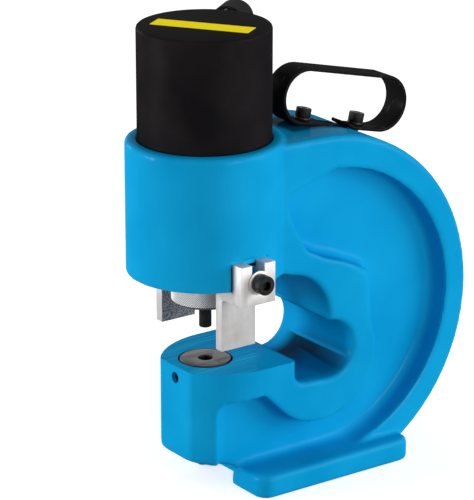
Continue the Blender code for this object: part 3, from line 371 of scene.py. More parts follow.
cast_paint, tree, shader, spot = finish_of("cast_blue_paint", paint_colour, 0.34)
broad = grain(tree, spot, 14, 2)
fine = grain(tree, spot, 420, 2)
full_coat = blend_colours(tree, past(tree, broad, *grain_span), paint_colour, paint_pale)
place = add_node(tree, "SeparateXYZ", Vector=spot).outputs
aside = either_side(tree, place["Y"])
inside = short_of(tree, aside, *inner_width_fade)
# The throat's inside is painted darker, as painted shade.
in_arch = joined(tree, "MINIMUM",
                 short_of(tree, line_distance(tree, spot, arch_place), arch_reach, arch_reach + shade_edge),
                 past(tree, place["Z"], arch_place[1] - shade_edge, arch_place[1]),
                 past(tree, place["X"], arch_place[0] - arch_front_fade, arch_place[0]))
under_arch = joined(tree, "MINIMUM",
                    past(tree, place["X"], throat_front, throat_front + shade_edge),
                    short_of(tree, place["X"], pouch_place[0], pouch_place[0] + shade_edge),
                    past(tree, place["Z"], throat_floor - shade_fade, throat_floor - shade_fade + shade_edge),
                    short_of(tree, place["Z"], arch_place[1] - shade_edge, arch_place[1]))
round_pouch = line_distance(tree, spot, pouch_place)
in_pouch = joined(tree, "MAXIMUM", under_arch,
                  short_of(tree, round_pouch, pouch_reach, pouch_reach + shade_edge))
arch_shade = joined(tree, "MINIMUM", inside, in_arch, past(tree, place["Y"], *arch_near_fade))
pouch_shade = joined(tree, "MINIMUM", inside, in_pouch, short_of(tree, place["Y"], *pouch_near_fade))
above_line = past(tree, place["Z"], pouch_top + mask_edge, pouch_top + mask_edge + shade_fade)
below_line = short_of(tree, place["Z"], pouch_top - mask_edge, pouch_top)
painted_throat_shade = joined(tree, "MAXIMUM", arch_shade,
                joined(tree, "MINIMUM", pouch_shade, joined(tree, "MAXIMUM", above_line, below_line)))
# Below the anvil's line the pouch is painted darker still, as the anvil's painted shadow.
on_floor = short_of(tree, place["Z"], throat_floor + mask_edge, throat_floor + mask_edge + shade_fade)
near_end = joined(tree, "MAXIMUM", short_of(tree, place["Y"], *shadow_near_fade),
                  joined(tree, "MINIMUM", on_floor, short_of(tree, place["Y"], *shadow_floor_fade)))
painted_pouch_shadow = joined(tree, "MINIMUM", inside, in_pouch, below_line, joined(tree, "SUBTRACT", 1, near_end),
                short_of(tree, place["Y"], *shadow_far_fade))
coat_and_shade = blend_colours(tree, painted_pouch_shadow, blend_colours(tree, painted_throat_shade, full_coat, throat_shade_blue), painted_shadow_blue)
# A painted shadow in the gap round the barrel's foot.
barrel_foot_shadow = joined(tree, "MINIMUM", short_of(tree, punch_distance(tree, spot), *barrel_gap_fade),
                   past(tree, place["Z"], barrel_gap_floor - mask_edge, barrel_gap_floor))
# Painted shade on the arm top under the handle.
arm_shade_area = joined(tree, "MINIMUM", short_of(tree, aside, *handle_shade_width_fade),
                past(tree, place["X"], *handle_shade_front_fade), short_of(tree, place["X"], *handle_shade_back_fade),
                past(tree, place["Z"], handle_shade_floor - mask_edge, handle_shade_floor))
handle_shaded = blend_colours(tree, joined(tree, "MULTIPLY", arm_shade_area, handle_shade_share), coat_and_shade, handle_shade_blue)
tint(tree, shader, barrel_foot_shadow, handle_shaded, painted_shadow_blue)
roughen(tree, shader, fine, 0.30, 0.40)
thin_gloss(shader, 0.07, 0.16)
raise_surface(tree, shader, [(grain(tree, spot, 36, 2), 0.0012, 0.3),
                             (grain(tree, spot, 160, 2), 0.0002, 0.2), (fine, 0.00004, 0.15)])

milled_deep = (0.001, 0.34, 0.74)
milled_pale = (0.018, 0.66, 0.98)
# Near black: bare milled iron darkened by painted shade, and the painted shadow round the die's seat.
bare_iron_and_shade = (0.012, 0.011, 0.012)
seat_shadow_reach = die_seat_radius + 0.0006
painted_rim = 0.0045
milled_paint, tree, shader, spot = finish_of("milled_blue_paint", paint_colour, 0.32)
first_pass = grain(tree, spot, 110, 4, (0.06, 5.5, 1), (0, 0, math.radians(68)))
second_pass = grain(tree, spot, 110, 4, (0.06, 4.5, 1), (0, 0, math.radians(4)))
cut_marks = past(tree, joined(tree, "MAXIMUM", first_pass, second_pass), 0.50, 0.70)
painted = blend_colours(tree, cut_marks, milled_deep, milled_pale)
place = add_node(tree, "SeparateXYZ", Vector=spot).outputs
# A painted shadow in the gap round the die's seat.
seat_gap_shadow = joined(tree, "MULTIPLY",
               short_of(tree, punch_distance(tree, spot), seat_shadow_reach, seat_shadow_reach + seat_gap),
               joined(tree, "LESS_THAN", place["Z"], (anvil_top + collar_bottom) / 2))
near_collar = joined(tree, "GREATER_THAN", place["Z"], collar_bottom)
# The flats under the forks are bare milled iron, painted near black as shade.
on_flat = joined(tree, "GREATER_THAN", either_side(tree, place["Y"]), clamp_hole_end - 2 * seat_gap)
shaded_bare_flat = joined(tree, "MULTIPLY", near_collar, on_flat,
                   joined(tree, "LESS_THAN", place["Z"], flat_top - painted_rim))
# Painted shade on the handle's seat under the strap.
seat_shade_area = joined(tree, "MULTIPLY", near_collar, joined(tree, "GREATER_THAN", place["X"], arch_place[0]))
handle_shaded = blend_colours(tree, seat_shade_area, painted, handle_shade_blue)
tint(tree, shader, joined(tree, "MAXIMUM", seat_gap_shadow, shaded_bare_flat), handle_shaded, bare_iron_and_shade)
thin_gloss(shader, 0.06, 0.25)
raise_surface(tree, shader, [(cut_marks, 0.0003, 0.5)])


def merged_copy(name):
    """A CAD node's mesh as a bmesh, with the loose triangles joined up again."""
    shape = bmesh.new()
    shape.from_mesh(nodes[name].data)
    bmesh.ops.remove_doubles(shape, verts=shape.verts, dist=merge_distance)
    return shape


def add_piece(name, shape, *finishes, angle=sharp_angle):
    """Turn a bmesh into a smooth-shaded object that keeps its sharp edges."""
    mesh = bpy.data.meshes.new(name)
    shape.to_mesh(mesh)
    shape.free()
    for finish in finishes:
        mesh.materials.append(finish)
    mesh.shade_smooth()
    mesh.set_sharp_from_angle(angle=angle)
    return link_to_scene(name, mesh)


def turned(profile, steps, centre=(punch_axis_x, 0, 0), closed=False):
    """Spin (radius, height) points round an upright axis."""
    shape = bmesh.new()
    points = [shape.verts.new((centre[0] + radius, centre[1], centre[2] + height))
              for radius, height in profile]
    pairs = list(zip(points, points[1:]))
    if closed:
        pairs.append((points[-1], points[0]))
    edges = [shape.edges.new(pair) for pair in pairs]
    bmesh.ops.spin(shape, geom=points + edges, axis=(0, 0, 1), cent=centre, angle=math.tau,
                   steps=steps, use_merge=True)
    bmesh.ops.remove_doubles(shape, verts=shape.verts, dist=merge_distance)
    bmesh.ops.recalc_face_normals(shape, faces=shape.faces)
    return shape


def rod(radius, low, high, matrix, steps=48):
    """A plain round bar along Z, then placed."""
    shape = turned([(0, low), (radius, low), (radius, high), (0, high)], steps, (0, 0, 0))
    bmesh.ops.transform(shape, matrix=matrix, verts=shape.verts)
    return shape


def bar(low, high, matrix=Matrix()):
    """A rectangular block between two corners, then placed."""
    shape = bmesh.new()
    bmesh.ops.create_cube(shape, size=1)
    size = Vector(high) - Vector(low)
    middle = (Vector(high) + Vector(low)) / 2
    fitted = Matrix.Translation(middle) @ Matrix.Diagonal((*size, 1))
    bmesh.ops.transform(shape, matrix=matrix @ fitted, verts=shape.verts)
    return shape


def gather(target, extra):
    """Add one bmesh to another and let the first go on."""
    carrier = bpy.data.meshes.new("carrier")
    extra.to_mesh(carrier)
    extra.free()
    target.from_mesh(carrier)
    bpy.data.meshes.remove(carrier)


def evaluated(item):
    """The mesh of an object with its modifiers worked in."""
    bpy.context.view_layer.update()
    result = bpy.data.meshes.new_from_object(item.evaluated_get(bpy.context.evaluated_depsgraph_get()))
    item.modifiers.clear()
    item.data = result
    return result


def slab(points, low, high):
    """A flat block over an outline in plan."""
    shape = bmesh.new()
    base = shape.faces.new([shape.verts.new((x, y, low)) for x, y in points])
    grown = bmesh.ops.extrude_face_region(shape, geom=[base])
    bmesh.ops.translate(shape, vec=(0, 0, high - low),
                        verts=[part for part in grown["geom"] if isinstance(part, bmesh.types.BMVert)])
    bmesh.ops.recalc_face_normals(shape, faces=shape.faces)
    return shape


def machine(item, tools, finish):
    """Cut some tools out of a piece. The cut faces take the tools' finish."""
    for tool in tools:
        mesh = bpy.data.meshes.new("tool")
        tool.to_mesh(mesh)
        tool.free()
        mesh.materials.append(finish)
        cutter = link_to_scene("tool", mesh)
        modifier = item.modifiers.new("tool", "BOOLEAN")
        modifier.operation = "DIFFERENCE"
        modifier.solver = "MANIFOLD"
        modifier.material_mode = "TRANSFER"
        modifier.object = cutter
        evaluated(item)
        bpy.data.objects.remove(cutter, do_unlink=True)


raw = merged_copy("frame")
top_faces = [face for face in raw.faces
             if face.normal.z > level_share and abs(face.calc_center_median().z - anvil_top) < seat_gap
             and face.calc_center_median().x < anvil_back]
grown = bmesh.ops.extrude_face_region(raw, geom=top_faces)
bmesh.ops.delete(raw, geom=top_faces, context="FACES")
bmesh.ops.translate(raw, vec=(0, 0, casting_stock),
                    verts=[part for part in grown["geom"] if isinstance(part, bmesh.types.BMVert)])
on_axis = Matrix.Translation((punch_axis_x, 0, 0))
screw_line = Matrix.Translation((punch_axis_x, 0, set_screw_height)) @ Matrix.Rotation(-math.pi / 2, 4, "Y")
gather(raw, rod(die_seat_radius + casting_stock / 2, die_seat_floor - casting_stock,
                anvil_top + casting_stock * stock_overlap_share, on_axis))
gather(raw, rod(set_screw_hole_radius * boss_share, 0, punch_axis_x - nose_front - seat_gap, screw_line))
casting = add_piece("casting", raw)
remesh = casting.modifiers.new("cast", "REMESH")
remesh.mode = "VOXEL"
remesh.voxel_size = cast_grain
evaluated(casting)


def soften(item, rounds, weight_of=None):
    """Smooth a piece, more where weight_of(place) is larger."""
    smooth = item.modifiers.new("soften", "SMOOTH")
    smooth.factor = 0.5
    smooth.iterations = rounds
    if weight_of:
        group = item.vertex_groups.new(name="soften")
        for vertex in item.data.vertices:
            weight = weight_of(vertex.co)
            if weight > 0:
                group.add([vertex.index], weight, "REPLACE")
        smooth.vertex_group = group.name
    evaluated(item)
    item.vertex_groups.clear()


def ramp(value, start, end):
    return min(1, max(0, (value - start) / (end - start)))


foot_top = 0.020
web_half_width = 0.030
fillet_fade = (0.006, 0.016)
throat_band_place = (0.052, 0.150)
throat_band_fades = ((0.010, 0.020), (0.020, 0.034))
nose_pocket_x = nose_front + 0.0188
nose_pocket_fade = (0.006, 0.012)
nose_pocket_foot = (0.024, 0.034)
nose_pocket_top = (0.072, 0.080)
even_rounds = 4
fillet_rounds = 40
worn_rounds = 60


def foot_fillet(place):
    """Where the web and the spine flow out into the foot."""
    level = 1 - ramp(abs(place.z - foot_top), *fillet_fade)
    return level * (1 - ramp(abs(abs(place.y) - web_half_width), *fillet_fade))


def worn_pattern(place):
    """Where the pattern's edge has all but gone: beside the throat and beside the nose."""
    by_throat = ((1 - ramp(abs(place.x - throat_band_place[0]), *throat_band_fades[0]))
                 * (1 - ramp(abs(place.z - throat_band_place[1]), *throat_band_fades[1])))
    by_nose = 1 - ramp(abs(place.x - nose_pocket_x), *nose_pocket_fade)
    upright = (1 - ramp(place.z, *nose_pocket_top)) * ramp(place.z, *nose_pocket_foot)
    return max(by_throat, by_nose * upright)


soften(casting, even_rounds)
soften(casting, fillet_rounds, foot_fillet)
soften(casting, worn_rounds, worn_pattern)

handle_frame = Matrix.Translation(handle_seat) @ Matrix.Rotation(handle_tilt, 4, "Y")
milled_outline = [(-0.045, 0.060), (-0.0405, 0.030), (-0.0324, -0.0072), (-0.0279, -0.0278),
                  (-0.0190, -0.060), (0.0136, -0.060), (0.055, 0.006), (0.075, 0.038), (0.075, 0.060)]
first_cuts = [
    turned([(0, collar_bottom - cutter_overrun), (guide_hole_radius, collar_bottom - cutter_overrun),
            (guide_hole_radius, collar_floor), (collar_bore_radius, collar_floor),
            (collar_bore_radius, collar_top + cutter_overrun), (0, collar_top + cutter_overrun)], bore_steps),
    slab([(punch_axis_x + x, y) for x, y in milled_outline], anvil_top, anvil_top + 2 * cutter_overrun),
    bar((-handle_half_seat, -handle_seat_half_width, 0),
        (handle_half_seat, handle_seat_half_width, handle_half_seat), handle_frame)]
second_cuts = [
    turned([(0, die_seat_floor), (die_seat_radius, die_seat_floor),
            (die_seat_radius, anvil_top - die_seat_rim), (die_seat_radius + die_seat_rim, anvil_top),
            (die_seat_radius + die_seat_rim, anvil_top + cutter_overrun),
            (0, anvil_top + cutter_overrun)], bore_steps)]
third_cuts = [
    rod(slug_hole_radius, -cutter_overrun, anvil_top - casting_stock, on_axis),
    rod(set_screw_hole_radius, 0, punch_axis_x - nose_front + cutter_overrun, screw_line)]
for side in (-1, 1):
    low_y, high_y = sorted((side * flat_reach, side * (collar_radius + cutter_overrun)))
    first_cuts.append(bar((punch_axis_x - flat_half_width, low_y, collar_bottom - cutter_overrun),
                          (punch_axis_x + flat_half_width, high_y, flat_top)))
    clamp_line = (Matrix.Translation((punch_axis_x, 0, clamp_height))
                  @ Matrix.Rotation(-side * math.pi / 2, 4, "X"))
    second_cuts.append(rod(clamp_hole_radius, clamp_hole_end, collar_radius + cutter_overrun,
                           clamp_line, small_hole_steps))
for shift in (-handle_bolt_shift, handle_bolt_shift):
    second_cuts.append(rod(handle_hole_radius, -handle_hole_depth, cutter_overrun,
                           handle_frame @ Matrix.Translation((shift, 0, 0)), small_hole_steps))


def shade_machined(item):
    """Keep every edge between a cast face and a milled face crisp."""
    shape = bmesh.new()
    shape.from_mesh(item.data)
    for edge in shape.edges:
        edge.smooth = (len(edge.link_faces) == 2 and edge.calc_face_angle(0) < sharp_angle
                       and edge.link_faces[0].material_index == edge.link_faces[1].material_index)
    for face in shape.faces:
        face.smooth = True
    shape.to_mesh(item.data)
    shape.free()


casting.data.materials.append(cast_paint)
machine(casting, [bar((nose_front - cutter_overrun, -arm_half_width - cutter_overrun, anvil_top + seat_gap),
                      (anvil_back + cutter_overrun, arm_half_width + cutter_overrun,
                       anvil_top + 2 * cutter_overrun))], cast_paint)
for tools in (first_cuts, second_cuts, third_cuts):
    carrier_shape = bmesh.new()
    for tool in tools:
        gather(carrier_shape, tool)
    machine(casting, [carrier_shape], milled_paint)
shade_machined(casting)
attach(casting, "casting")
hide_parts("frame")

# The cylinder
# A steel barrel screwed into the collar, closed at the top, under satin black paint.
# A plain yellow sticker lies across its top.
barrel_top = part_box("cylinder_body")[1].z
sticker_length = 0.084
sticker_width = 0.019
sticker_corner = 0.0008
sticker_film = 0.00018
sticker_turn = math.radians(-56)
sticker_middle = Vector((punch_axis_x - 0.0036, -0.0031, barrel_top))
sticker_yellow = (1.0, 0.83, 0.0)
sticker_deep = (0.96, 0.79, 0.0)
sticker_painted_glow = 0.3


def tidy_copy(name, soft_edge=0.0, steps=2, flat_angle=math.radians(2)):
    """A CAD node's mesh with its flats made whole again and its sharp edges broken."""
    shape = merged_copy(name)
    bmesh.ops.dissolve_limit(shape, angle_limit=flat_angle, verts=shape.verts, edges=shape.edges)
    if soft_edge:
        edges = [edge for edge in shape.edges if edge.is_manifold and edge.calc_face_angle(0) > sharp_angle]
        bmesh.ops.bevel(shape, geom=edges, offset=soft_edge, offset_type="OFFSET", affect="EDGES",
                        segments=steps, profile=0.5, material=-1, clamp_overlap=True)
    return shape


def dress(item, body, node):
    """Send a finished piece along with its body, in place of its CAD node."""
    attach(item, body)
    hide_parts(node)
    return item


barrel_black = (0.012, 0.011, 0.012)
barrel_deep = (0.009, 0.008, 0.009)
barrel_pale = (0.016, 0.014, 0.015)
barrel_paint, tree, shader, spot = finish_of("satin_black_paint", barrel_black, 0.42)
orange_peel = grain(tree, spot, 620, 2)
tint(tree, shader, past(tree, grain(tree, spot, 22, 3), 0.35, 0.7), barrel_deep, barrel_pale)
roughen(tree, shader, orange_peel, 0.38, 0.52)
thin_gloss(shader, 0.05, 0.35)
raise_surface(tree, shader, [(orange_peel, 0.00006, 0.5)])
dress(add_piece("cylinder_barrel", tidy_copy("cylinder_body"), barrel_paint), "casting",
      "cylinder_body")

sticker_finish, tree, shader, spot = finish_of("yellow_film", sticker_yellow, 0.4)
tint(tree, shader, past(tree, grain(tree, spot, 60, 2), *grain_span), sticker_yellow, sticker_deep)
# The sticker glows a little, as painted light, though it is no lamp.
shader.inputs["Emission Color"].default_value = (*sticker_yellow, 1)
shader.inputs["Emission Strength"].default_value = sticker_painted_glow
thin_gloss(shader, 0.05, 0.03)
raise_surface(tree, shader, [(grain(tree, spot, 90, 2), 0.0001, 0.3)])
sticker = bmesh.new()
bmesh.ops.create_grid(sticker, x_segments=1, y_segments=1, size=0.5)
laid_on = (Matrix.Translation(sticker_middle) @ Matrix.Rotation(sticker_turn, 4, "Z")
           @ Matrix.Diagonal((sticker_length, sticker_width, 1, 1)))
bmesh.ops.transform(sticker, matrix=laid_on, verts=sticker.verts)
bmesh.ops.bevel(sticker, geom=sticker.verts[:], offset=sticker_corner, offset_type="OFFSET",
                affect="VERTICES", segments=4, profile=0.5, material=-1)
grown = bmesh.ops.extrude_face_region(sticker, geom=sticker.faces[:])
bmesh.ops.translate(sticker, vec=(0, 0, sticker_film),
                    verts=[part for part in grown["geom"] if isinstance(part, bmesh.types.BMVert)])
bmesh.ops.recalc_face_normals(sticker, faces=sticker.faces)
label = add_piece("plain_sticker", sticker, sticker_finish)
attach(label, "casting")

# The works inside the cylinder
# A steel piston with a rubber seal and a plastic wear ring, screwed to the ram, drives it down.
# A coil spring brings it back, and a bronze guide and a rubber wiper hold the ram in line.
turned_steel, tree, shader, spot = finish_of("turned_steel", (0.62, 0.61, 0.60), 0.3, 1.0)
rings = grain(tree, spot, 900, 2, (0.02, 0.02, 1))
roughen(tree, shader, rings, 0.22, 0.38)
raise_surface(tree, shader, [(rings, 0.00004, 0.4)])

oxide_deep = (0.013, 0.013, 0.014)
oxide_pale = (0.034, 0.032, 0.031)
black_oxide, tree, shader, spot = finish_of("black_oxide", (0.018, 0.018, 0.019), 0.38, 0.75)
patina = grain(tree, spot, 180, 4)
tint(tree, shader, past(tree, patina, 0.35, 0.75), oxide_deep, oxide_pale)
roughen(tree, shader, patina, 0.3, 0.46)
raise_surface(tree, shader, [(grain(tree, spot, 1400, 2), 0.00003, 0.4)])

black_rubber, tree, shader, spot = finish_of("black_rubber", (0.010, 0.010, 0.011), 0.6)
thin_gloss(shader, 0.12, 0.3)
bloom = grain(tree, spot, 260, 3)
roughen(tree, shader, bloom, 0.42, 0.68)
raise_surface(tree, shader, [(bloom, 0.00005, 0.4)])

bearing_bronze, tree, shader, spot = finish_of("bearing_bronze", (0.55, 0.36, 0.13), 0.35, 1.0)
tool_marks = grain(tree, spot, 800, 2, (0.02, 0.02, 1))
roughen(tree, shader, tool_marks, 0.26, 0.44)
raise_surface(tree, shader, [(tool_marks, 0.00004, 0.4)])

plastic_deep = (0.30, 0.18, 0.08)
plastic_pale = (0.42, 0.27, 0.13)
guide_plastic, tree, shader, spot = finish_of("guide_plastic", (0.35, 0.22, 0.10), 0.55)
weave = grain(tree, spot, 700, 3, (1, 1, 0.3))
tint(tree, shader, weave, plastic_deep, plastic_pale)

for node, body, slot_name, finish, soft_edge in (
        ("piston", "ram_group", "bright_steel", turned_steel, 0.0004),
        ("ram", "ram_group", "bright_steel", turned_steel, 0.0004),
        ("piston_seal", "ram_group", "seal_rubber", black_rubber, 0.0006),
        ("piston_wear_ring", "ram_group", "guide_plastic", guide_plastic, 0.0003),
        ("rod_guide", "casting", "bronze", bearing_bronze, 0.0004),
        ("rod_wiper", "casting", "seal_rubber", black_rubber, 0.0005)):
    dress(add_piece(node + "_turned", tidy_copy(node, soft_edge), finish), body, node)
dress(add_piece("piston_screw_black", tidy_copy("piston_screw", 0.0002), black_oxide), "ram_group",
      "piston_screw")

spring_deep = (0.02, 0.02, 0.021)
spring_pale = (0.06, 0.055, 0.05)
spring_steel, tree, shader, spot = finish_of("oiled_spring_steel", (0.03, 0.03, 0.032), 0.34, 0.8)
scale_marks = grain(tree, spot, 240, 4)
tint(tree, shader, past(tree, scale_marks, 0.35, 0.75), spring_deep, spring_pale)


def coil_spring(name, node, finish):
    """A spring as one smooth piece, in place of its CAD node."""
    coil = add_piece(name, merged_copy(node), finish)
    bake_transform(coil)
    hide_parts(node)


coil_spring("return_spring_coil", "return_spring",
            spring_steel)

# The punch and its nut
# A hardened punch, black from its heat treatment, held in the ram's end by a bright steel nut.
# The nut's rim has a diamond knurl, rolled in by two crossed wheels.
nut_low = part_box("punch_nut")[0].z
nut_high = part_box("punch_nut")[1].z
nut_radius = 0.0283
nut_chamfer = 0.0026
nut_bore = 0.020
nut_floor = 0.008
nut_cone_top = 0.016
nut_cone_mouth = 0.0123
knurl_depth = 0.00055
knurl_teeth = 90
knurl_pitch = math.tau * nut_radius / knurl_teeth
knurl_low = nut_low + nut_chamfer
knurl_height = nut_high - nut_low - 2 * nut_chamfer
knurl_rows = 2 * round(knurl_height / knurl_pitch)
knurl_shade_share = 0.7
knurl_sharp_angle = math.radians(20)

dress(add_piece("punch_black", tidy_copy("punch", 0.0002), black_oxide), "ram_group", "punch")
nut_profile = [(nut_cone_mouth, nut_low), (nut_radius - nut_chamfer, nut_low)]
for row in range(knurl_rows + 1):
    nut_profile.append((nut_radius, knurl_low + knurl_height * row / knurl_rows))
nut_profile += [(nut_radius - nut_chamfer, nut_high), (nut_bore, nut_high), (nut_bore, nut_low + nut_floor),
                (nut_cone_top, nut_low + nut_floor)]
nut = turned(nut_profile, 2 * knurl_teeth, closed=True)
for vertex in nut.verts:
    arm = Vector((vertex.co.x - punch_axis_x, vertex.co.y, 0))
    if abs(arm.length - nut_radius) < merge_distance:
        across = round(math.atan2(arm.y, arm.x) * knurl_teeth / math.pi)
        up = round((vertex.co.z - knurl_low) * knurl_rows / knurl_height)
        if (across + up) % 2:
            vertex.co -= arm.normalized() * knurl_depth
for face in nut.faces[:]:
    reach = sorted(face.verts, key=lambda vertex: (vertex.co.x - punch_axis_x) ** 2 + vertex.co.y ** 2)
    outer = nut_radius - knurl_depth - merge_distance
    if len(reach) == 4 and (reach[0].co.x - punch_axis_x) ** 2 + reach[0].co.y ** 2 > outer ** 2:
        bmesh.utils.face_split(face, reach[0], reach[1])
nut_pale = (0.98, 0.975, 0.97)
knurl_groove_shade = (0.12, 0.117, 0.115)
knurled_steel, tree, shader, spot = finish_of("knurled_steel", nut_pale, 0.4)
# The knurl's grooves are painted dark, as painted shade.
tint(tree, shader, past(tree, punch_distance(tree, spot), nut_radius - knurl_depth,
                        nut_radius - knurl_depth * knurl_shade_share), knurl_groove_shade, nut_pale)
roughen(tree, shader, grain(tree, spot, 120, 3), 0.28, 0.42)
dress(add_piece("punch_nut_knurled", nut, knurled_steel, angle=knurl_sharp_angle), "nut", "punch_nut")

# The die
# A hardened ring, ground flat on top and dropped into its seat in the nose.
# A small set screw in the front of the nose holds it.
die_radius = 0.0215
die_hole_radius = 0.0061
die_violet = (0.088, 0.082, 0.088)
die_straw = (0.106, 0.102, 0.096)
die_shadow = (0.006, 0.006, 0.006)
ground_steel, tree, shader, spot = finish_of("ground_steel", (0.15, 0.14, 0.14), 0.4, 0.6)
grinding = grain(tree, spot, 260, 3, (0.05, 1, 1), (0, 0, math.radians(30)))
temper = past(tree, grain(tree, spot, 45, 2), 0.35, 0.65)
face_colour = blend_colours(tree, temper, die_violet, die_straw)
reach = punch_distance(tree, spot)
in_hole = short_of(tree, reach, die_hole_radius, die_hole_radius + seat_gap)
at_rim = past(tree, reach, die_radius - 2 * seat_gap, die_radius - seat_gap)
tint(tree, shader, joined(tree, "MAXIMUM", in_hole, at_rim), face_colour, die_shadow)
roughen(tree, shader, grinding, 0.32, 0.5)
raise_surface(tree, shader, [(grinding, 0.00004, 0.5)])
dress(add_piece("die_ring", tidy_copy("die", 0.0003), ground_steel), "casting", "die")
dress(add_piece("die_set_screw_black", tidy_copy("die_set_screw", 0.00015), black_oxide), "casting",
      "die_set_screw")

# The strippers
# Two bent steel plates, zinc plated. Their legs hold the work down as the punch is drawn out.
# Each fork straddles a socket screw on a flat of the collar, with a washer under its head.
stripper_edge = 0.0008
stripper_leg_inner = 0.0391
zinc_pale = (0.80, 0.785, 0.775)
zinc_deep = (0.66, 0.64, 0.62)
# The legs' inner faces are pitted, and painted darker as shade.
inner_shade_pale = (0.52, 0.51, 0.50)
inner_shade_deep = (0.10, 0.097, 0.095)
zinc, tree, shader, spot = finish_of("satin_zinc", (0.78, 0.765, 0.755), 0.42, 0.45)
drawn = grain(tree, spot, 260, 3, (1, 1, 0.08))
tint(tree, shader, past(tree, grain(tree, spot, 55, 4), 0.35, 0.7), zinc_pale, zinc_deep)
roughen(tree, shader, drawn, 0.34, 0.52)
raise_surface(tree, shader, [(drawn, 0.00012, 0.5), (grain(tree, spot, 700, 3), 0.00005, 0.5)])
inner_face_shade_zinc, tree, shader, spot = finish_of("inner_face_shade_zinc", (0.34, 0.33, 0.325), 0.55, 0.5)
pits = past(tree, grain(tree, spot, 900, 3), 0.38, 0.62)
tint(tree, shader, pits, inner_shade_deep, inner_shade_pale)
raise_surface(tree, shader, [(pits, 0.00015, 0.7)])
for label, side in (("near", -1), ("far", 1)):
    plate = tidy_copy("stripper_" + label, stripper_edge, 3)
    # The inner faces of the legs take the darker zinc, painted as shade.
    for face in plate.faces:
        faces_work = face.normal.y * side < -level_share
        if faces_work and abs(face.calc_center_median().y) < stripper_leg_inner + seat_gap:
            face.material_index = 1
    dress(add_piece("stripper_plate_" + label, plate, zinc, inner_face_shade_zinc),
          label + "_stripper", "stripper_" + label)
    dress(add_piece("stripper_washer_ring_" + label, tidy_copy("stripper_washer_" + label, 0.0002), zinc),
          "casting", "stripper_washer_" + label)

# The socket screws
# Cap screws of blackened steel: two clamp the strippers here, and two hold the handle below.
# Their heads have fine straight ribs for the fingers.
head_ribs = 36
rib_depth = 0.00018
socket_share = 0.52
socket_depth_share = 0.5
head_chamfer_share = 0.08


def cap_screw(radius, head_radius, head_height, length, matrix):
    """A ribbed head above zero, a shank below it, and a hexagon socket in the head."""
    rim = head_height * head_chamfer_share
    profile = [(0, -length), (radius - rim, -length), (radius, -length + rim), (radius, 0),
               (head_radius - rim / 2, 0), (head_radius, rim), (head_radius, head_height - rim),
               (head_radius - rim, head_height), (0, head_height)]
    shape = turned(profile, 4 * head_ribs, (0, 0, 0))
    for vertex in shape.verts:
        arm = Vector((vertex.co.x, vertex.co.y, 0))
        if abs(arm.length - head_radius) < merge_distance:
            turn = round(math.atan2(arm.y, arm.x) * 2 * head_ribs / math.pi) % 4
            if turn in (2, 3):
                vertex.co -= arm.normalized() * rib_depth
    socket = bmesh.new()
    bmesh.ops.create_cone(socket, cap_ends=True, segments=6, radius1=head_radius * socket_share,
                          radius2=head_radius * socket_share, depth=head_height)
    bmesh.ops.translate(socket, vec=(0, 0, head_height * (1.5 - socket_depth_share)), verts=socket.verts)
    screw = add_piece("screw", shape, black_oxide)
    machine(screw, [socket], black_oxide)
    screw.data.transform(matrix)
    screw.data.set_sharp_from_angle(angle=sharp_angle)
    return screw


clamp_screw_radius = 0.0049
clamp_head_radius = 0.008
clamp_head_height = 0.010
clamp_screw_bite = 0.016
for label, side in (("near", -1), ("far", 1)):
    head_seat = abs(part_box("stripper_washer_" + label)[0 if side < 0 else 1].y) + seat_gap
    outwards = (Matrix.Translation((punch_axis_x, 0, clamp_height))
                @ Matrix.Rotation(-side * math.pi / 2, 4, "X") @ Matrix.Translation((0, 0, head_seat)))
    screw = cap_screw(clamp_screw_radius, clamp_head_radius, clamp_head_height,
                      head_seat - flat_reach + clamp_screw_bite, outwards)
    screw.name = "clamp_screw_" + label
    dress(screw, "casting", "stripper_screw_" + label)

# The handle
# A flat steel bar bent into a loop and painted black. Both ends are screwed to a milled seat.
# The rear end stands a little off the seat, as bent bars do.
strap_width = 0.025
strap_thickness = 0.003
loop_height = 0.0488
loop_front = 0.0620
loop_back = 0.0700
front_tab_overhang = 0.021
rear_tab_overhang = 0.016
rear_tip_lift = 0.0025
rear_tip_bend = 0.009
strap_steps = 40
strap_edge = 0.0007
handle_washer_thickness = 0.0018
handle_head_seat = 3 * seat_gap + strap_thickness + handle_washer_thickness
handle_screw_radius = 0.0039
handle_head_radius = 0.0065
handle_head_height = 0.008
handle_screw_bite = 0.016
strap_black = (0.011, 0.010, 0.010)
strap_chip = (0.05, 0.047, 0.045)
strap_paint, tree, shader, spot = finish_of("strap_black_paint", strap_black, 0.36)
chips = grain(tree, spot, 130, 5)
tint(tree, shader, past(tree, chips, 0.62, 0.72), strap_black, strap_chip)
roughen(tree, shader, chips, 0.36, 0.52)
thin_gloss(shader, 0.05, 0.3)
raise_surface(tree, shader, [(grain(tree, spot, 500, 2), 0.00006, 0.5),
                             (grain(tree, spot, 60, 2), 0.0003, 0.3)])

strap = bmesh.new()
front_centre = (-loop_front + loop_height / 2, 0, loop_height / 2 + seat_gap)
back_centre = (loop_back - loop_height / 2, 0, loop_height / 2 + seat_gap)
front_end = -handle_bolt_shift + front_tab_overhang
back_end = handle_bolt_shift - rear_tab_overhang
start = [strap.verts.new((front_end, y, z)) for y, z in (
    (-strap_width / 2, seat_gap), (strap_width / 2, seat_gap),
    (strap_width / 2, seat_gap + strap_thickness), (-strap_width / 2, seat_gap + strap_thickness))]
loop = [strap.edges.new(pair) for pair in zip(start, start[1:] + start[:1])]
strap.faces.new(start)


def leading(result):
    """The edges that a spin or an extrusion left at the front."""
    found = result.get("geom_last", result.get("edges", result.get("geom")))
    return [part for part in found if isinstance(part, bmesh.types.BMEdge)]


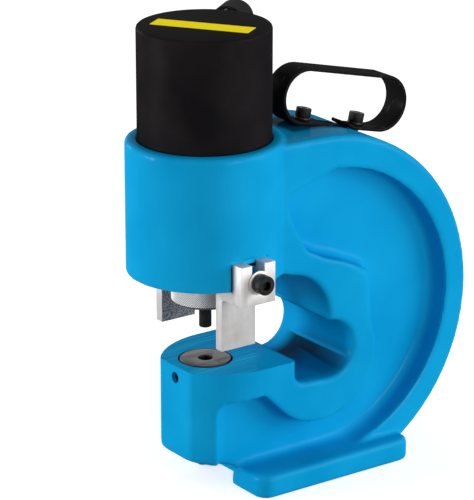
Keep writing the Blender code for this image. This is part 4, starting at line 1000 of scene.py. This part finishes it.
def draw_out(shape, edges, travel):
    grown = bmesh.ops.extrude_edge_only(shape, edges=edges)
    moved = [part for part in grown["geom"] if isinstance(part, bmesh.types.BMVert)]
    bmesh.ops.translate(shape, vec=travel, verts=moved)
    return [edge for edge in leading(grown) if all(vertex in moved for vertex in edge.verts)]


def bend(shape, edges, centre, angle, steps):
    corners = list({vertex for edge in edges for vertex in edge.verts})
    return leading(bmesh.ops.spin(shape, geom=edges + corners, axis=(0, 1, 0), cent=centre,
                                  angle=angle, steps=steps))


loop = draw_out(strap, loop, (front_centre[0] - front_end, 0, 0))
loop = bend(strap, loop, front_centre, math.pi, strap_steps)
loop = draw_out(strap, loop, (back_centre[0] - front_centre[0], 0, 0))
loop = bend(strap, loop, back_centre, math.pi, strap_steps)
loop = draw_out(strap, loop, (handle_bolt_shift - rear_tip_bend - back_centre[0], 0, 0))
loop = draw_out(strap, loop, (back_end - handle_bolt_shift + rear_tip_bend, 0, rear_tip_lift))
bmesh.ops.holes_fill(strap, edges=loop, sides=4)
bmesh.ops.remove_doubles(strap, verts=strap.verts, dist=merge_distance)
bmesh.ops.recalc_face_normals(strap, faces=strap.faces)
corners = [edge for edge in strap.edges if edge.calc_face_angle(0) > sharp_angle]
bmesh.ops.bevel(strap, geom=corners, offset=strap_edge, offset_type="OFFSET", affect="EDGES", segments=3,
                profile=0.5, material=-1, clamp_overlap=True)
handle = add_piece("handle_loop", strap, strap_paint)
holes = bmesh.new()
for shift in (-handle_bolt_shift, handle_bolt_shift):
    gather(holes, rod(handle_hole_radius, -cutter_overrun, cutter_overrun,
                      Matrix.Translation((shift, 0, 0)), small_hole_steps))
machine(handle, [holes], strap_paint)
handle.data.transform(handle_frame)
handle.data.set_sharp_from_angle(angle=sharp_angle)
dress(handle, "casting", "handle_strap")
for label, shift in (("front", -handle_bolt_shift), ("rear", handle_bolt_shift)):
    dress(add_piece("handle_washer_ring_" + label, tidy_copy("handle_washer_" + label, 0.0002), black_oxide),
          "casting", "handle_washer_" + label)
    upwards = handle_frame @ Matrix.Translation((shift, 0, handle_head_seat))
    bolt = cap_screw(handle_screw_radius, handle_head_radius, handle_head_height,
                     handle_head_seat + handle_screw_bite, upwards)
    bolt.name = "handle_screw_" + label
    dress(bolt, "casting", "handle_bolt_" + label)

# The oil port
# A steel half coupler screwed into the back of the barrel, with a spring-loaded check valve.
# A soft rubber cap keeps the dust out of it.
for node, body, slot_name, finish, soft_edge in (
        ("coupler_nipple", "casting", "bright_steel", turned_steel, 0.0003),
        ("coupler_poppet", "poppet", "bright_steel", turned_steel, 0.0003),
        ("dust_cap", "cap", "seal_rubber", black_rubber, 0.0)):
    dress(add_piece(node + "_dressed", tidy_copy(node, soft_edge), finish), body, node)
coil_spring("coupler_spring_coil", "coupler_spring", turned_steel)
